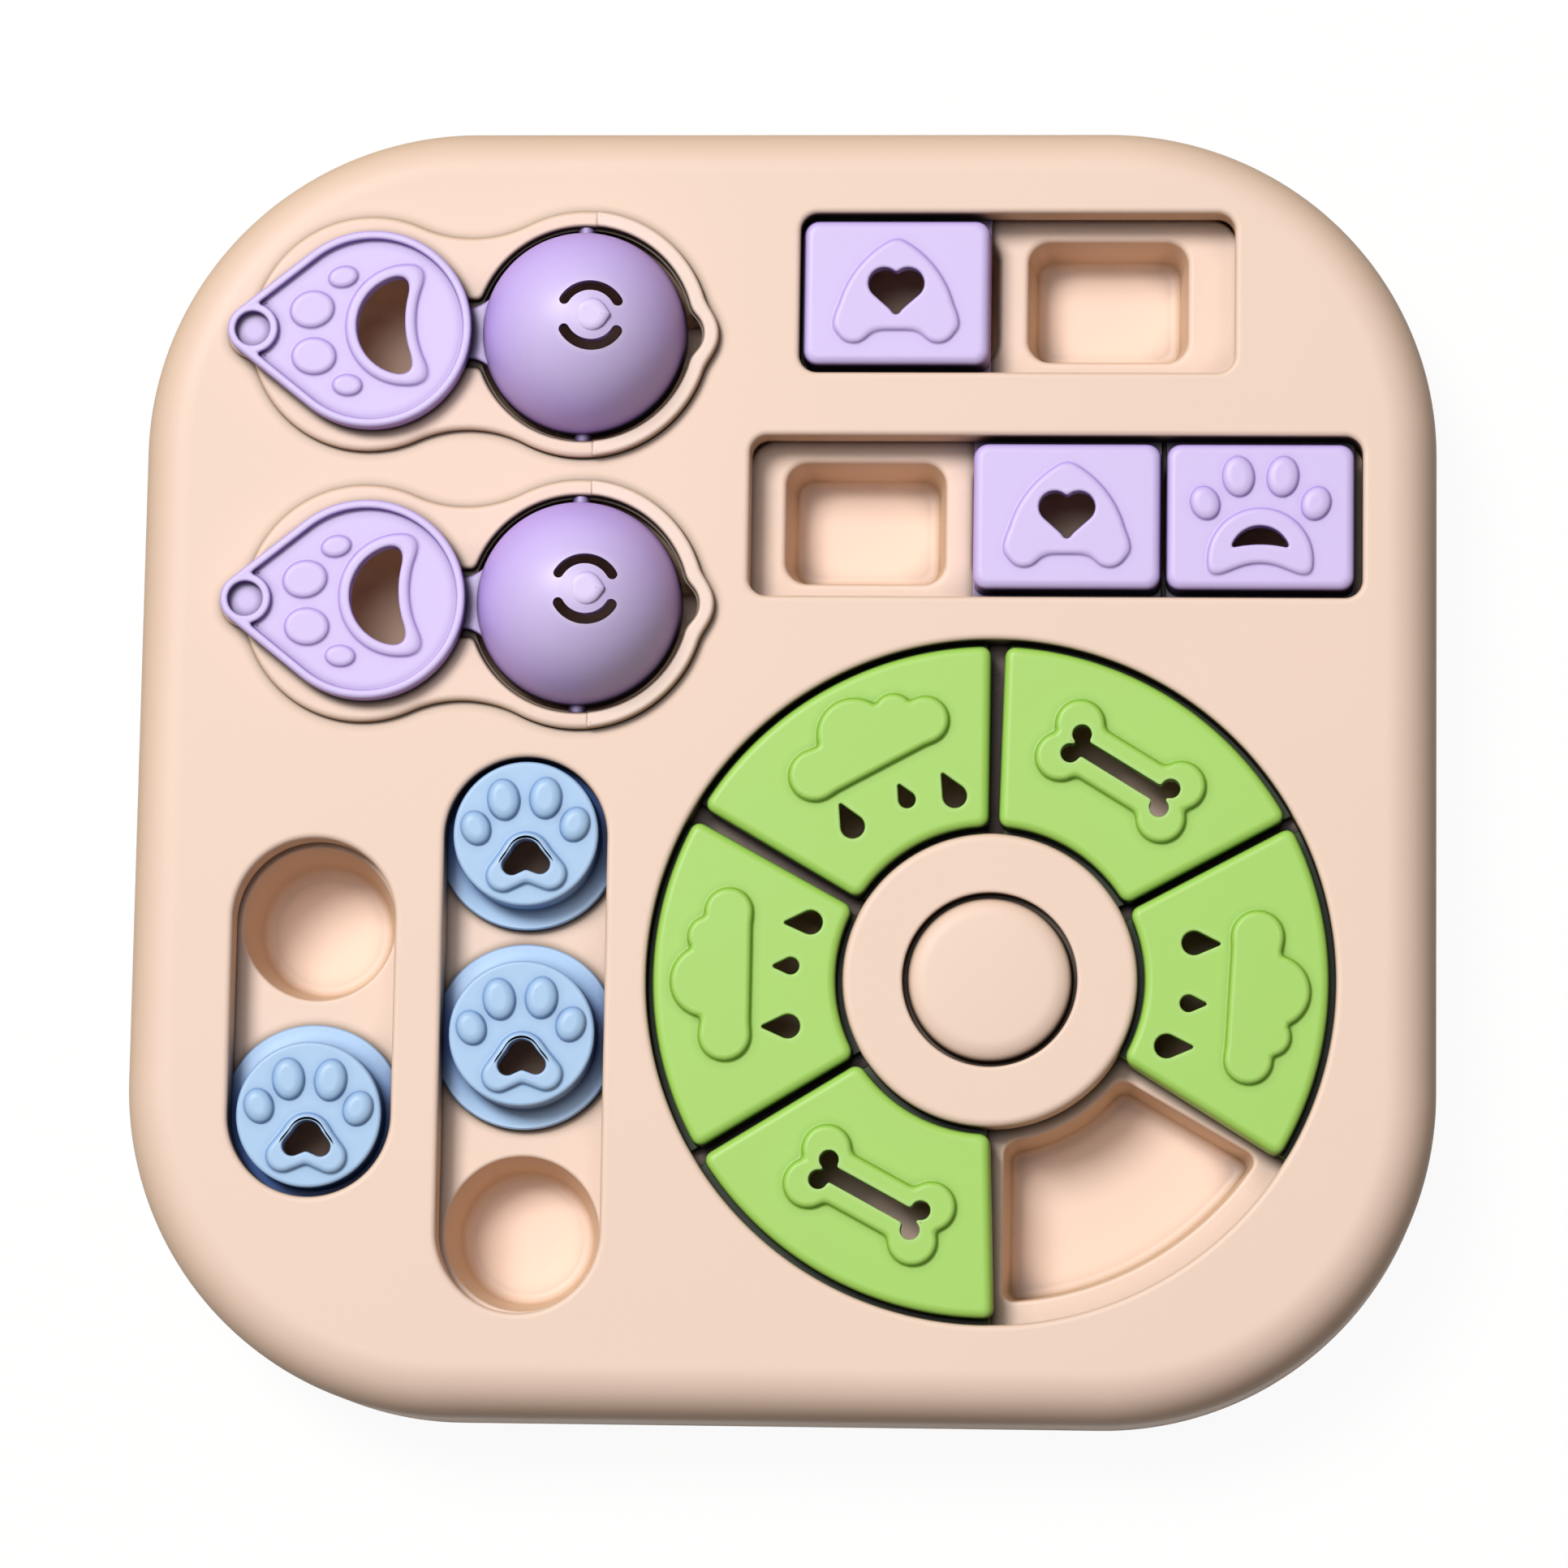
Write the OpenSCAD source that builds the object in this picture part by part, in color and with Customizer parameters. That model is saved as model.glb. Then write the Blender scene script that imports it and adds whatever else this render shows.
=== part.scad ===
// Cat puzzle feeder: a square tray with treat wells under blocks, discs, flip lids and a wheel.
// X runs to the right, Y to the rear, Z up. The origin is under the middle of the tray, on the table.

/* [Tray] */
// Width of the tray, left to right
tray_w = 260; // [256:1:290]
// Depth of the tray, front to back
tray_d = 260; // [256:1:290]
// Radius of the tray's corners seen from above
corner_r = 66; // [56:1:70]
// Radius of the cover's rounded upper edge
edge_r = 10; // [6:0.5:12]
// Height of the cover's top face above the table
cover_top = 35; // [33:0.5:40]
// Wall of the cover and of the bottom pan
wall = 2.4; // [2:0.1:3]
// Depth of the turned-down rims round the cover's openings, from the top face
rim_h = 6.5; // [5:0.1:8]
// Wall of those rims
rim_t = 1.6; // [1.2:0.1:2]

/* [Layout] */
// Gap between the left edge and the left disc slot
left_margin = 21.3; // [19:0.1:25]
// Gap between the two disc slots
disc_gap = 9.6; // [9:0.1:12]
// Gap between the right disc slot and the wheel
wheel_gap = 8.3; // [8:0.1:12]
// Gap between the wheel and the right edge
right_margin = 20; // [18:0.5:25]
// Gap between the rear edge and the rear block slot
rear_margin = 18.25; // [17:0.25:22]
// Gap between the two block slots
slot_gap = 13; // [12:0.5:16]
// Gap between the front block slot and the wheel
wheel_slot_gap = 8.75; // [8:0.25:12]
// Gap between the wheel and the front edge
front_margin = 19; // [18:0.5:24]
// Gap between the right edge and the rear block slot
rear_slot_margin = 40.5; // [38:0.5:44]
// Gap between the right edge and the front block slot
front_slot_margin = 15; // [14:0.5:17]
// Distance from the front edge to the middle of the left disc slot
left_slot_margin = 78.5; // [76:0.5:82]
// Distance from the front edge to the middle of the right disc slot
right_slot_margin = 75.5; // [74:0.5:78]
// Gap between the left edge and the tips of the lids
lid_margin = 17.2; // [16:0.1:19]
// Distance from the rear edge to the middle of the rear lid
rear_lid_margin = 43.5; // [42:0.5:46]
// Distance between the middles of the two lids
lid_pitch = 55; // [54:0.5:58]
// Distance of a corner's screw post from the tray's edges
corner_post = 28; // [26:0.5:32]

/* [Bottom pan] */
// Height of the pan's underside above the table
pan_lift = 1.5; // [1:0.1:2]
// Thickness of the pan's floor
pan_floor = 2.5; // [2:0.1:3]
// Radius of the pan's lower edge
pan_edge_r = 3; // [1:0.5:4]
// Height of the seam between pan and cover
seam_z = 9; // [8:0.5:12]
// Height of the locating lip inside the cover's wall
lip_h = 4; // [2:0.5:6]
// Thickness of that lip
lip_t = 1.6; // [1.2:0.1:2]

/* [Sliding pieces] */
// Thickness of the flange that keeps a slider under the cover
flange_t = 2; // [1.6:0.1:2.4]
// How far a flange reaches under the edge of its slot
flange_lap = 2; // [1.2:0.1:2.6]
// Wall of the sliders
slider_wall = 2; // [1.6:0.1:2.4]
// Height of the raised figures on the sliders
relief_h = 0.8; // [0.4:0.1:1.2]
// How far a tray's floor reaches under the edge of its slot
island_lap = 1; // [0.5:0.1:1.5]

/* [Block slots] */
// Width of both block slots, front to back
slot_w = 32.5; // [31.5:0.1:33]
// Radius of the slots' corners
slot_r = 3.5; // [2.6:0.1:6]
// Radius of the corners of the floor under a block slot
island_r = 7; // [3:0.5:8]
// Length of the rear slot
rear_slot_l = 87; // [84:0.5:90]
// Length of the front slot
front_slot_l = 122; // [120:0.5:123]
// Length of a block, along its slot
block_l = 37.6; // [35:0.1:38]
// Width of a block's top
block_d = 29.6; // [28:0.1:30.5]
// Radius of a block's upright edges
block_r = 3; // [2.4:0.1:4]
// Radius of a block's top edge
block_edge_r = 1.8; // [0.6:0.1:2]
// Distance between neighbouring treat wells of a block slot
block_pitch = 38.2; // [37:0.1:39]
// Shift of the rear slot's wells from the slot's middle
rear_well_shift = -1; // [-2:0.1:2]
// Length of a block well at its rim
block_well_l = 32; // [28:0.5:33]
// Width of a block well at its rim
block_well_d = 24.6; // [22:0.2:26]
// Depth of a block well
block_well_depth = 13.5; // [8:0.5:16]
// Gap between the rear block and the left end of its slot
rear_block_gap = 0.5; // [0.3:0.1:2]
// Gap between the right-hand front block and the right end of its slot
front_block_gap = 1.4; // [0.3:0.1:1.6]
// Gap between the two front blocks
block_gap = 0.8; // [0.4:0.1:1]

/* [Disc slots] */
// Width of both disc slots
disc_slot_w = 32.4; // [32:0.1:33.5]
// Distance between neighbouring treat wells of a disc slot
disc_pitch = 39; // [38.6:0.1:39.6]
// Radius of a disc's cap
disc_r = 14.5; // [13.8:0.1:15.2]
// Radius of a disc's top edge
disc_edge_r = 1.1; // [0.8:0.1:1.2]
// Radius of a disc well at its rim
disc_well_r = 15.3; // [13:0.1:15.6]
// Radius of a disc well at its floor
disc_well_floor_r = 11; // [9:0.1:13]
// Depth of a disc well
disc_well_depth = 15; // [8:0.5:17]
// Radius between the wall and the floor of a disc well
disc_well_fillet = 4; // [1:0.5:6]

/* [Wheel] */
// Radius of the round opening for the wheel
wheel_r = 68; // [66:0.5:69]
// Radius of the fixed ring in the middle
hub_r = 29.2; // [28:0.1:31]
// Radius of the post that carries the ring
hub_post_r = 25.8; // [25:0.1:26]
// Gap between a wedge's top and the opening or the ring
wedge_gap = 1.4; // [0.8:0.1:2]
// Distance from a wedge's side to the line between two places
wedge_side = 1.6; // [1:0.1:2.5]
// Radius of a wedge's top edge
wedge_edge_r = 1.2; // [0.6:0.1:1.6]
// Inner radius of a wedge well at its rim
wedge_well_r0 = 31.5; // [31:0.5:36]
// Outer radius of a wedge well at its rim
wedge_well_r1 = 63; // [60:0.2:65]
// Distance from a wedge well's rim to the line between two places
wedge_well_margin = 3; // [2:0.5:7]
// Depth of a wedge well
wedge_well_depth = 13.5; // [8:0.5:16]

/* [Squeak button] */
// Radius of the button
button_r = 16.3; // [15.5:0.1:16.6]
// Height of the button's top above the cover
button_rise = 1.2; // [0.6:0.1:2]
// Radius of the button's top edge
button_edge_r = 3; // [1.5:0.1:3.5]
// Gap between the button and the ring
button_gap = 0.9; // [0.5:0.1:1.2]
// Travel of the button
button_travel = 3.5; // [2:0.1:4]
// Width of the flange that keeps the button under the ring
button_flange = 1.8; // [1.4:0.1:2]
// Thickness of that flange
button_flange_t = 1.5; // [1:0.1:2]
// Radius of the rubber squeaker bulb
bulb_r = 13; // [10:0.5:13.5]
// Radius of the squeaker's whistle insert
reed_r = 3.5; // [2.5:0.1:5]
// Radius of the bulb's edges
bulb_edge_r = 3; // [2:0.1:4]
// Height of the squeaker above the pan
squeaker_lift = 10; // [8:0.5:11]

/* [Flip lids] */
// Outer radius of a lid's dome
dome_r = 20.6; // [20:0.1:21]
// Wall of the dome
dome_wall = 1.8; // [1.4:0.1:2.2]
// Depth of the dome's straight lower edge
dome_skirt = 2.2; // [2:0.1:3]
// Gap between the dome and its opening
dome_gap = 1; // [0.8:0.1:1.2]
// Height of the raised platform under a lid
platform_h = 2; // [1.5:0.1:3]
// Radius of the platform under a plate
platform_r = 24; // [23:0.1:25]
// Radius of the platform's waist
waist_r = 25; // [20:0.5:30]
// Wall of the ring round a dome
ring_wall = 3.6; // [3.4:0.1:4]
// Radius of the bulge of that ring, away from the plate
bulge_r = 6.5; // [6:0.1:8]
// Width of the notch in the bulge
notch_w = 8.4; // [6:0.1:10]
// Depth of the notch from the dome's opening
notch_reach = 2.3; // [1.5:0.1:2.6]
// Depth of the hinge axis below the platform's top
pivot_drop = 2.5; // [2.3:0.1:2.8]
// Radius of the hinge pins
pin_r = 1.8; // [1.4:0.1:1.9]
// Length of a hinge pin inside its bearing
pin_l = 2.4; // [1.6:0.1:2.6]
// Distance from the hinge axis to the middle of the lid's plate
plate_reach = 43.3; // [42.5:0.1:44]
// Radius of the plate
plate_r = 19.6; // [19:0.1:20]
// Turn of the paw on the plate, in degrees
lid_paw_turn = 3.5; // [-6:0.5:6]
// Thickness of the plate at its rim
plate_t = 4.2; // [3.4:0.1:5]
// Depth of the plate's recessed face
plate_recess = 1.5; // [0.8:0.1:2]
// Width of the plate's rim
plate_rim = 1.7; // [1.2:0.1:2.4]
// Distance from the plate's middle to its tip
tip_reach = 23.7; // [22:0.1:25]
// Outer radius of the ring at the tip
tip_r = 5.1; // [4.5:0.1:5.5]
// Radius of the blind hole in that ring
tip_hole_r = 3.5; // [2.5:0.1:3.8]
// Width of the neck between plate and dome
neck_w = 11.6; // [8:0.2:13]
// Radius of the well under a plate, at the platform
cup_r = 14; // [12:0.1:14.5]
// Radius of that well's floor
cup_floor_r = 11; // [9:0.1:12]
// Thickness under that floor
cup_floor_t = 9; // [6:0.5:12]
// Depth of the turned-down rims round a lid's openings, below the cover's top
lid_rim_h = 5; // [4:0.1:6]
// Gap between the dome and the bowl under it
bowl_gap = 1.4; // [1:0.1:2]
// Shift of the air slots from the dome's middle, away from the plate
slots_shift = 2.9; // [1:0.1:3]

/* [Fasteners and feet] */
// Radius of a cover post
post_r = 4.5; // [4:0.1:5]
// Radius of a screw's shank
screw_r = 1.45; // [1.2:0.05:1.6]
// Radius of a screw's head
screw_head_r = 2.9; // [2.6:0.1:3.1]
// Height of a screw's head
screw_head_h = 1.8; // [1.4:0.1:2]
// Length of a screw's shank
screw_l = 11; // [8:0.5:12]
// Radius of a rubber foot
foot_r = 7; // [5:0.5:9]
// Depth of the seat of a foot in the pan
foot_seat = 1; // [0.5:0.1:1.2]
// Distance of a foot from the tray's middle lines
foot_reach = 84; // [70:1:88]

/* [Clearances] */
// Gap above and below a sliding flange
slide_gap = 0.25; // [0.15:0.05:0.4]
// Gap between pan lip and cover
lip_gap = 0.2; // [0.1:0.05:0.4]
// Radial gap of a hinge pin in its bearing
pin_gap = 0.08; // [0.05:0.01:0.1]
// Radial gap of a screw in its hole
screw_gap = 0.05; // [0.03:0.01:0.1]
// Gap between the plate and the platform
plate_gap = 0.3; // [0.2:0.05:0.5]
// Gap between a lid's seat and the edge of its hole in the cover
seat_gap = 0.15; // [0.1:0.05:0.3]

/* [Hidden] */
$fn = 64;

// Colours of the mouldings
beige = [0.95, 0.83, 0.74];
lilac = [0.80, 0.70, 0.95];
sky = [0.66, 0.80, 0.96];
leaf = [0.62, 0.85, 0.38];
steel = [0.70, 0.70, 0.72];
black = [0.16, 0.16, 0.17];
pale = [0.92, 0.91, 0.88];

// How far the shell's rounded border reaches in from the outside
border = edge_r + 2;

// Shares by which the gaps between the modules grow with the tray
stretch_x = (tray_w - 2 * disc_slot_w - 2 * wheel_r) / (left_margin + disc_gap + wheel_gap + right_margin);
stretch_y = (tray_d - 2 * slot_w - 2 * wheel_r) / (rear_margin + slot_gap + wheel_slot_gap + front_margin);

// Places of the modules on the tray, seen from above
half_w = tray_w / 2;
half_d = tray_d / 2;
left_x = -half_w + stretch_x * left_margin + disc_slot_w / 2;
right_x = left_x + disc_slot_w + stretch_x * disc_gap;
wheel_x = right_x + disc_slot_w / 2 + stretch_x * wheel_gap + wheel_r;
rear_y = half_d - stretch_y * rear_margin - slot_w / 2;
front_y = rear_y - slot_w - stretch_y * slot_gap;
wheel_y = front_y - slot_w / 2 - stretch_y * wheel_slot_gap - wheel_r;
lid_x = -half_w + lid_margin + tip_r + tip_reach + plate_reach;
lid_y = half_d - rear_lid_margin;
rear_slot_at = [half_w - rear_slot_margin - rear_slot_l / 2, rear_y];
front_slot_at = [half_w - front_slot_margin - front_slot_l / 2, front_y];
left_slot_at = [left_x, left_slot_margin - half_d];
right_slot_at = [right_x, right_slot_margin - half_d];
wheel_at = [wheel_x, wheel_y];
rear_lid_at = [lid_x, lid_y];
front_lid_at = [lid_x, lid_y - lid_pitch];
posts_at = [
    [corner_post - half_w, corner_post - half_d],
    [half_w - corner_post, corner_post - half_d],
    [half_w - corner_post, half_d - corner_post],
    [lid_x - plate_reach / 2, half_d - border],
    [border - half_w, lid_y - lid_pitch / 2],
    [lid_x + 1.1 * dome_r, lid_y - lid_pitch / 2],
    [half_w - border, wheel_y + wheel_r - border],
    [wheel_x - wheel_r + border / 2, border - half_d]
];

// Heights above the table
pan_top = pan_lift + pan_floor;
panel_z = cover_top - wall;
rim_z = cover_top - rim_h;
floor_z = rim_z - flange_t - 2 * slide_gap;
flange_z = floor_z + slide_gap;
island_h = floor_z - pan_top;
platform_z = cover_top + platform_h;
pivot_z = platform_z - pivot_drop;
lid_seat_z = cover_top - lid_rim_h;
plate_z = platform_z + plate_gap;
head_z = pan_top + 0.5;
post_seat_z = head_z + 3.5;

// A length that passes right through any wall
through = 80;
// Overlap that joins two solids of one piece
join = 0.5;
// Share of a circle's radius at which a line that meets it starts
tuck = 0.993;

// Places of the blocks along their slots, and the reach of a disc's flange
rear_block_x = rear_slot_at.x - rear_slot_l / 2 + rear_block_gap + block_l / 2;
front_right_x = front_slot_at.x + front_slot_l / 2 - front_block_gap - block_l / 2;
front_middle_x = front_right_x - block_l - block_gap;
disc_flange_r = disc_slot_w / 2 + flange_lap + 0.3;

// Wheel rings
flange_r1 = wheel_r + flange_lap - 0.2;
flange_r0 = hub_post_r + 0.6;
wedge_r0 = hub_r + wedge_gap;
wedge_r1 = wheel_r - wedge_gap;
place_half = 30;
// Directions of the wedges from the wheel's middle, right one first. The free place follows the last one.
wedge_turns = [-1.8, 58.5, 119.8, 181.2, 241.7];

// Button and squeaker
button_top = cover_top + button_rise;
button_low = rim_z + 1.5;
button_flange_r = button_r + button_flange;
button_hole_r = button_r + button_gap;
button_guide_r = button_flange_r + button_gap;
squeaker_z = pan_top + squeaker_lift;
hub_screw_at = (button_guide_r + hub_post_r) / 2;
hub_screw_seat = floor_z - 6;

// Flat outlines

module round_rect(w, d, r) {
    square([w - 2 * r, d], center = true);
    square([w, d - 2 * r], center = true);
    for (sx = [-1, 1], sy = [-1, 1])
        translate([sx * (w / 2 - r), sy * (d / 2 - r)])
            circle(r);
}

// Two circles joined by their outer tangents. The straight sides start a hair inside the circles.
module bar(p, q, rp, rq) {
    turn = acos((rp - rq) / norm(q - p));
    heading = atan2(q.y - p.y, q.x - p.x);
    left = [cos(heading + turn), sin(heading + turn)];
    right = [cos(heading - turn), sin(heading - turn)];
    translate(p)
        circle(rp);
    translate(q)
        circle(rq);
    polygon([p + tuck * rp * left, p + tuck * rp * right, q + tuck * rq * right, q + tuck * rq * left]);
}

module stadium(length, width) {
    square([width, length - width], center = true);
    for (s = [-1, 1])
        translate([0, s * (length - width) / 2])
            circle(width / 2);
}

// An ellipse as a polygon, for the soft toes of a paw
module oval(at, size, turn = 0) {
    translate(at)
        rotate(turn)
            polygon([for (a = [0:20:340]) [size.x / 2 * cos(a), size.y / 2 * sin(a)]]);
}

// Part of a ring between two lines that run at a set distance from the lines between two places
function sector_points(r0, r1, margin, steps = 8) = let(
    outer = place_half - asin(margin / r1),
    inner = place_half - asin(margin / r0)
) concat(
    [for (i = [0:steps]) r1 * [cos(outer * (2 * i / steps - 1)), sin(outer * (2 * i / steps - 1))]],
    [for (i = [0:steps]) r0 * [cos(inner * (1 - 2 * i / steps)), sin(inner * (1 - 2 * i / steps))]]
);

// The triangle between those two lines, for cutting a ring into wedges
module place_cut(margin) {
    start = margin / sin(place_half);
    reach = 2 * wheel_r;
    polygon([
        [start, 0],
        [reach, (reach - start) * tan(place_half)],
        [reach, -(reach - start) * tan(place_half)]
    ]);
}

// Solids that run round a rounded rectangle

// Sweeps a profile, drawn with x = 0 at the outside and y up, round a rounded rectangle
module sweep(w, d, r) {
    for (k = [0:3]) {
        across = k % 2 == 0 ? w : d;
        along = k % 2 == 0 ? d : w;
        rotate(k * 90) {
            translate([across / 2, r - along / 2, 0])
                rotate([90, 0, 0])
                    mirror([0, 0, 1])
                        linear_extrude(along - 2 * r)
                            children();
            translate([across / 2 - r, along / 2 - r, 0])
                rotate_extrude(angle = 90)
                    translate([r, 0])
                        children();
        }
    }
}

// A slab with upright edges of radius r and a top edge of radius e
module soft_slab(w, d, r, e, h) {
    sweep(w, d, r) {
        translate([-e, 0])
            square([e, h - e]);
        intersection() {
            translate([-e, h - e])
                circle(e);
            translate([-e, h - e])
                square(e);
        }
    }
    linear_extrude(h)
        round_rect(w - 2 * e, d - 2 * e, r - e);
}

// Figures on the sliders

module heart() {
    for (s = [-1, 1])
        bar([s * 2.4, 1.7], [0, -3.8], 3.2, 0.7);
}

// The pad round a heart: a triangle with bulging sides, two lobes below and a soft tip
module heart_pad() {
    side = [for (a = [52:-8:4]) [21.2 * cos(a) - 9, 21.2 * sin(a) - 8]];
    lobe = [for (a = [-10:-20:-110]) [3.8 * cos(a) + 8.6, 3.8 * sin(a) - 7]];
    half = concat([[2.2, 10.1]], side, lobe, [[4, -9.5]]);
    polygon(concat(
        [[0, 10.6]],
        half,
        [[0, -8.6]],
        [for (i = [len(half) - 1:-1:0]) [-half[i].x, half[i].y]]
    ));
}

// A paw's four toes, from the places of its inner and outer pair
module paw_toes(inner, outer) {
    for (s = [-1, 1]) {
        oval([s * inner.x, inner.y], [6.3, 8.2], -s * 6);
        oval([s * outer.x, outer.y], [5.7, 6.9], -s * 22);
    }
}

// A paw's palm, from its share of the size on a disc
module palm(k) {
    for (s = [-1, 1])
        bar(k * [0, 1.6], k * [s * 4.7, -2.9], k * 3.9, k * 3.3);
    polygon(k * [[0, 3], [4.7, -4.6], [-4.7, -4.6]]);
}

// The palm on the right-hand front block, and the hole through it
module block_palm() {
    difference() {
        translate([0, -8.9])
            circle(10.3);
        translate([0, -21.2])
            circle(11.7);
        translate([-20, -31.7])
            square([40, 20]);
    }
}

module palm_hole() {
    difference() {
        translate([0, -8])
            circle(6);
        translate([0, -29.8])
            circle(24);
    }
}

module bone(length, spread, lobe, shaft) {
    square([shaft, length], center = true);
    for (sx = [-1, 1], sy = [-1, 1])
        translate([sx * spread / 2, sy * length / 2])
            circle(lobe);
}

module cloud() {
    translate([53, 9.5])
        circle(5);
    translate([56.3, -0.5])
        circle(7.4);
    translate([56.3, -10])
        circle(4);
    translate([51.8, -15.3])
        circle(4.6);
    polygon([[48.1, 9.5], [53, 9.5], [56.3, -0.5], [56.3, -10], [51.8, -15.3], [47.3, -15.3]]);
}

module drop(at, length, width) {
    translate(at)
        bar([-length / 2 + width / 2, 0], [length / 2 - 0.3, 0], width / 2, 0.3);
}

module drops() {
    drop([41.8, 8.4], 7.6, 4.8);
    drop([40.7, -3.6], 5.2, 3.4);
    drop([37.2, -12.2], 7.6, 4.8);
}

// Fixed pieces

module cover_profile() {
    intersection() {
        translate([-border, seam_z])
            square([border, cover_top - seam_z]);
        difference() {
            union() {
                translate([-border, seam_z])
                    square([border, cover_top - edge_r - seam_z]);
                translate([-border, cover_top - edge_r])
                    square([border - edge_r, edge_r]);
                translate([-edge_r, cover_top - edge_r])
                    circle(edge_r);
            }
            translate([-edge_r, cover_top - edge_r])
                circle(edge_r - wall);
            translate([-border - 1, seam_z - 1])
                square([border + 1 - wall, cover_top - edge_r - seam_z + 1]);
            translate([-border - 1, seam_z - 1])
                square([border + 1 - edge_r, panel_z - seam_z + 1]);
        }
    }
}

// Outline of the platform under a flip lid, with the hinge axis at x = 0
module platform_outline() {
    ring_r = dome_r + dome_gap + ring_wall;
    a = platform_r + waist_r;
    b = ring_r + waist_r;
    along = (plate_reach * plate_reach + a * a - b * b) / (2 * plate_reach);
    aside = sqrt(a * a - along * along);
    difference() {
        union() {
            translate([-plate_reach, 0])
                circle(platform_r);
            circle(ring_r);
            polygon([
                [-plate_reach, 0],
                [along - plate_reach, aside],
                [0, 0],
                [along - plate_reach, -aside]
            ]);
        }
        for (s = [-1, 1])
            translate([along - plate_reach, s * aside])
                circle(waist_r + 0.03);
    }
    translate([-plate_reach - tip_reach, 0])
        circle(tip_r);
    translate([dome_r, 0])
        circle(bulge_r);
}

// The holes in the cover for one lid's seat
module seat_holes() {
    cylinder(r = dome_r + dome_gap + ring_wall + seat_gap, h = through);
    translate([-plate_reach, 0, 0])
        cylinder(r = cup_r + rim_t + seat_gap, h = through);
}

// A lid's seat: a platform on the cover, with two tubes that hang through the cover onto the lid's tray.
// It loses the neck's channel, the notch opposite the neck and the bearings of the hinge.
module lid_seat(at) {
    hole_r = dome_r + dome_gap;
    channel_w = neck_w + 2 * dome_gap;
    bearing_l = hole_r + pin_l + 0.2;
    color(beige)
        translate([at.x, at.y, 0])
            difference() {
                union() {
                    translate([0, 0, cover_top])
                        linear_extrude(platform_h)
                            platform_outline();
                    translate([0, 0, lid_seat_z])
                        cylinder(r = hole_r + ring_wall, h = platform_z - lid_seat_z);
                    translate([-plate_reach, 0, lid_seat_z])
                        cylinder(r = cup_r + rim_t, h = platform_z - lid_seat_z);
                }
                translate([0, 0, lid_seat_z - 1])
                    cylinder(r = hole_r, h = through);
                translate([-plate_reach, 0, lid_seat_z - 1])
                    cylinder(r = cup_r, h = through);
                translate([-hole_r - ring_wall - 1, -channel_w / 2, cover_top - 0.4])
                    cube([hole_r, channel_w, through]);
                translate([0, -notch_w / 2, lid_seat_z + 1])
                    cube([hole_r + notch_reach, notch_w, through]);
                translate([0, -bearing_l, pivot_z])
                    rotate([-90, 0, 0])
                        cylinder(r = pin_r + pin_gap, h = 2 * bearing_l);
            }
}

module rear_lid_seat() {
    lid_seat(rear_lid_at);
}

module front_lid_seat() {
    lid_seat(front_lid_at);
}

module slot_rims() {
    translate([0, 0, rim_z])
        linear_extrude(rim_h) {
            translate(rear_slot_at)
                round_rect(rear_slot_l + 2 * rim_t, slot_w + 2 * rim_t, slot_r + rim_t);
            translate(front_slot_at)
                round_rect(front_slot_l + 2 * rim_t, slot_w + 2 * rim_t, slot_r + rim_t);
            translate(left_slot_at)
                stadium(disc_pitch + disc_slot_w + 2 * rim_t, disc_slot_w + 2 * rim_t);
            translate(right_slot_at)
                stadium(2 * disc_pitch + disc_slot_w + 2 * rim_t, disc_slot_w + 2 * rim_t);
            translate(wheel_at)
                circle(wheel_r + rim_t, $fn = 128);
        }
}

module slot_cuts() {
    translate([0, 0, rim_z - 1])
        linear_extrude(through) {
            translate(rear_slot_at)
                round_rect(rear_slot_l, slot_w, slot_r);
            translate(front_slot_at)
                round_rect(front_slot_l, slot_w, slot_r);
            translate(left_slot_at)
                stadium(disc_pitch + disc_slot_w, disc_slot_w);
            translate(right_slot_at)
                stadium(2 * disc_pitch + disc_slot_w, disc_slot_w);
            translate(wheel_at)
                circle(wheel_r, $fn = 128);
        }
}

module top_cover() {
    color(beige)
        difference() {
            union() {
                sweep(tray_w, tray_d, corner_r)
                    cover_profile();
                translate([0, 0, panel_z])
                    linear_extrude(wall)
                        round_rect(tray_w - 2 * border, tray_d - 2 * border, corner_r - border);
                slot_rims();
                for (at = posts_at)
                    translate([at.x, at.y, post_seat_z])
                        cylinder(r = post_r, h = panel_z - post_seat_z + join);
            }
            slot_cuts();
            for (at = [rear_lid_at, front_lid_at])
                translate([at.x, at.y, panel_z - 1])
                    seat_holes();
            for (at = posts_at)
                translate([at.x, at.y, post_seat_z - 1])
                    cylinder(r = screw_r + screw_gap, h = screw_l);
        }
}

module pan_profile() {
    lip_x = -wall - lip_gap;
    intersection() {
        union() {
            translate([-border, pan_lift])
                square([border, pan_floor]);
            translate([-wall, pan_lift])
                square([wall, seam_z - pan_lift]);
            translate([lip_x - lip_t, pan_lift])
                square([lip_t, seam_z + lip_h - pan_lift]);
        }
        union() {
            translate([-border, pan_lift + pan_edge_r])
                square([border, seam_z + lip_h]);
            translate([-border, pan_lift])
                square([border - pan_edge_r, seam_z + lip_h]);
            translate([-pan_edge_r, pan_lift + pan_edge_r])
                circle(pan_edge_r);
        }
    }
}

module feet_places() {
    for (sx = [-1, 1], sy = [-1, 1])
        translate([sx * foot_reach, sy * foot_reach, 0])
            children();
}

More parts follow.
